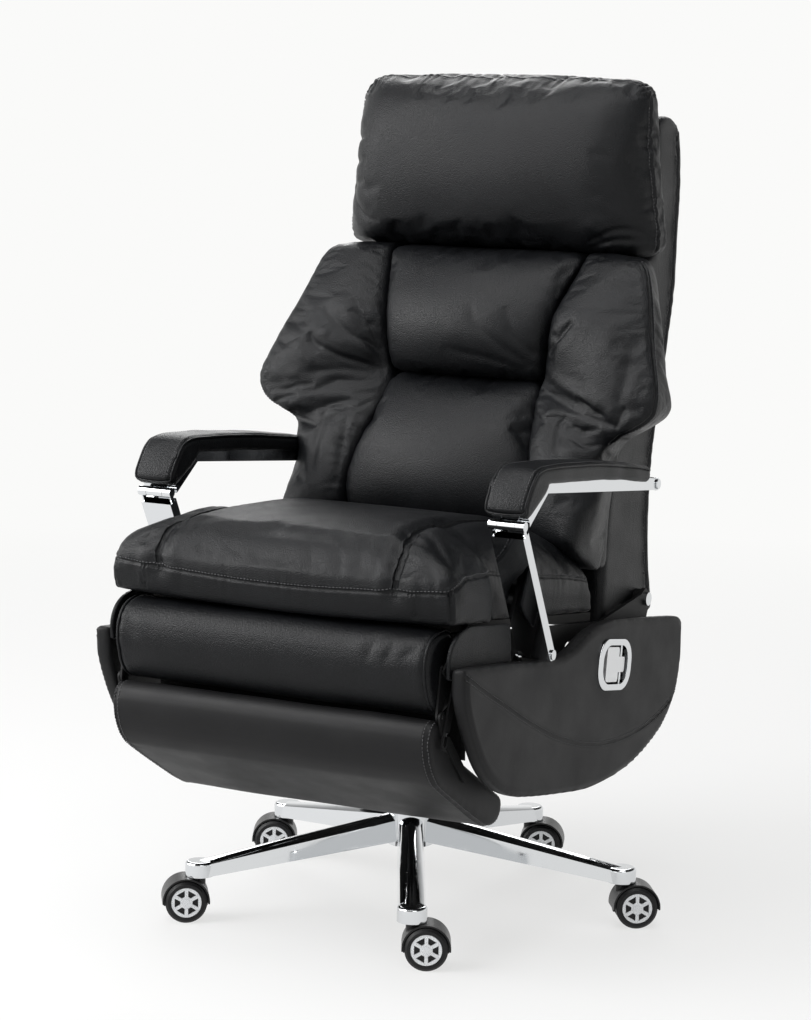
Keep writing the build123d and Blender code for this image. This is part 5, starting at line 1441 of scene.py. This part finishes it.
def background_rays(tree):
    """1 on the rays that see the background itself: from the camera, in reflections and through glass."""
    path = add(tree, "ShaderNodeLightPath")
    seen = path.outputs["Is Camera Ray"]
    for kind in ("Is Glossy Ray", "Is Transmission Ray"):
        both = add(tree, "ShaderNodeMath", {"operation": "MAXIMUM"}, in0=seen, in1=path.outputs[kind])
        seen = both.outputs[0]
    return seen


def make_floor():
    """Matt paper floor that goes over to plain white away from the chair and keeps its shadow."""
    material, tree, shader, coords = new_material("matt paper floor", hex_colour("#d4d4d5"), roughness=0.9)
    glow = add(tree, "ShaderNodeEmission", Color=(*hex_colour(STUDIO_WHITE), 1.0), Strength=1.0)
    away = add(tree, "ShaderNodeVectorMath", {"operation": "LENGTH"}, in0=coords)
    white = add(tree, "ShaderNodeMapRange", Value=away.outputs["Value"],
                From_Min=GLOW_NEAR, From_Max=GLOW_FAR, To_Min=FLOOR_GLOW, To_Max=1.0)
    part = add(tree, "ShaderNodeMath", {"operation": "MULTIPLY"},
               in0=background_rays(tree), in1=white.outputs[0])
    mix = add(tree, "ShaderNodeMixShader", in0=part.outputs[0], in1=shader.outputs[0], in2=glow.outputs[0])
    tree.links.new(mix.outputs[0], tree.nodes["Material Output"].inputs["Surface"])
    return material


def make_walls(tree):
    """White studio walls all round, seen by the background's rays only, under a dark ceiling."""
    ceiling = tree.nodes["Background"]
    ceiling.inputs["Color"].default_value = (*hex_colour("#f4f6f8"), 1.0)
    ceiling.inputs["Strength"].default_value = CEILING_LIGHT
    walls = add(tree, "ShaderNodeBackground", Color=(*hex_colour(STUDIO_WHITE), 1.0), Strength=1.0)
    parts = add(tree, "ShaderNodeSeparateXYZ", Vector=add(tree, "ShaderNodeTexCoord").outputs["Object"])
    low = add(tree, "ShaderNodeMapRange", Value=parts.outputs["Z"], From_Min=WALL_TOP, From_Max=CEILING_FOOT,
              To_Min=1.0, To_Max=0.0)
    part = add(tree, "ShaderNodeMath", {"operation": "MULTIPLY"},
               in0=background_rays(tree), in1=low.outputs[0])
    mix = add(tree, "ShaderNodeMixShader", in0=part.outputs[0], in1=ceiling.outputs[0], in2=walls.outputs[0])
    tree.links.new(mix.outputs[0], tree.nodes["World Output"].inputs["Surface"])


class CHAIR_OT_stage(bpy.types.Operator):
    """Pale floor and walls, soft studio light and the camera"""
    bl_idname = "chair.stage"
    bl_label = "Stage"

    def execute(self, context):
        scene = context.scene
        bm = bmesh.new()
        bmesh.ops.create_circle(bm, cap_ends=True, radius=FLOOR_RADIUS, segments=96)
        ground = piece_object("studio_floor", bm)
        ground.data.materials.append(make_floor())

        scene.world = bpy.data.worlds.new("studio")
        scene.world.use_nodes = True
        make_walls(scene.world.node_tree)
        for lamp in LAMPS:
            softbox(*lamp)

        camera = bpy.data.cameras.new("camera")
        camera.lens = CAMERA_LENS
        camera.sensor_width = SENSOR_WIDTH
        camera.sensor_fit = "AUTO"
        camera.clip_end = 2 * FLOOR_RADIUS
        holder = bpy.data.objects.new("camera", camera)
        turn = Matrix((CAMERA_RIGHT, CAMERA_UP, -CAMERA_FORWARD)).transposed().to_4x4()
        turn.translation = CAMERA_PLACE
        holder.matrix_world = turn
        scene.collection.objects.link(holder)
        scene.camera = holder
        scene.view_settings.view_transform = "Standard"
        return {"FINISHED"}


# ---------------------------------------------------------------- panel and run
class CHAIR_PT_panel(bpy.types.Panel):
    """The chair's sizes, colours and pieces"""
    bl_idname = "CHAIR_PT_panel"
    bl_label = "Reclining chair"
    bl_space_type = "VIEW_3D"
    bl_region_type = "UI"
    bl_category = "Chair"

    def draw(self, context):
        values = context.scene.chair_settings
        for key in values.__annotations__:
            self.layout.prop(values, key)
        for operator in OPERATORS:
            self.layout.operator(operator.bl_idname)


OPERATORS = (CHAIR_OT_seat, CHAIR_OT_back_pads, CHAIR_OT_sides, CHAIR_OT_headrest, CHAIR_OT_back_shell,
             CHAIR_OT_footrest, CHAIR_OT_skirts, CHAIR_OT_side_pads, CHAIR_OT_arm_pads,
             CHAIR_OT_metalwork, CHAIR_OT_stage)
CLASSES = (ChairSettings, *OPERATORS, CHAIR_PT_panel)


def register():
    """Makes the settings, the operators and the panel known to Blender."""
    for item in CLASSES:
        bpy.utils.register_class(item)
    bpy.types.Scene.chair_settings = PointerProperty(type=ChairSettings)


def unregister():
    """Takes them away again."""
    del bpy.types.Scene.chair_settings
    for item in reversed(CLASSES):
        bpy.utils.unregister_class(item)


def main():
    """Builds every part of the scene in turn."""
    register()
    for operator in OPERATORS:
        group, name = operator.bl_idname.split(".")
        getattr(getattr(bpy.ops, group), name)()


if __name__ == "__main__":
    main()
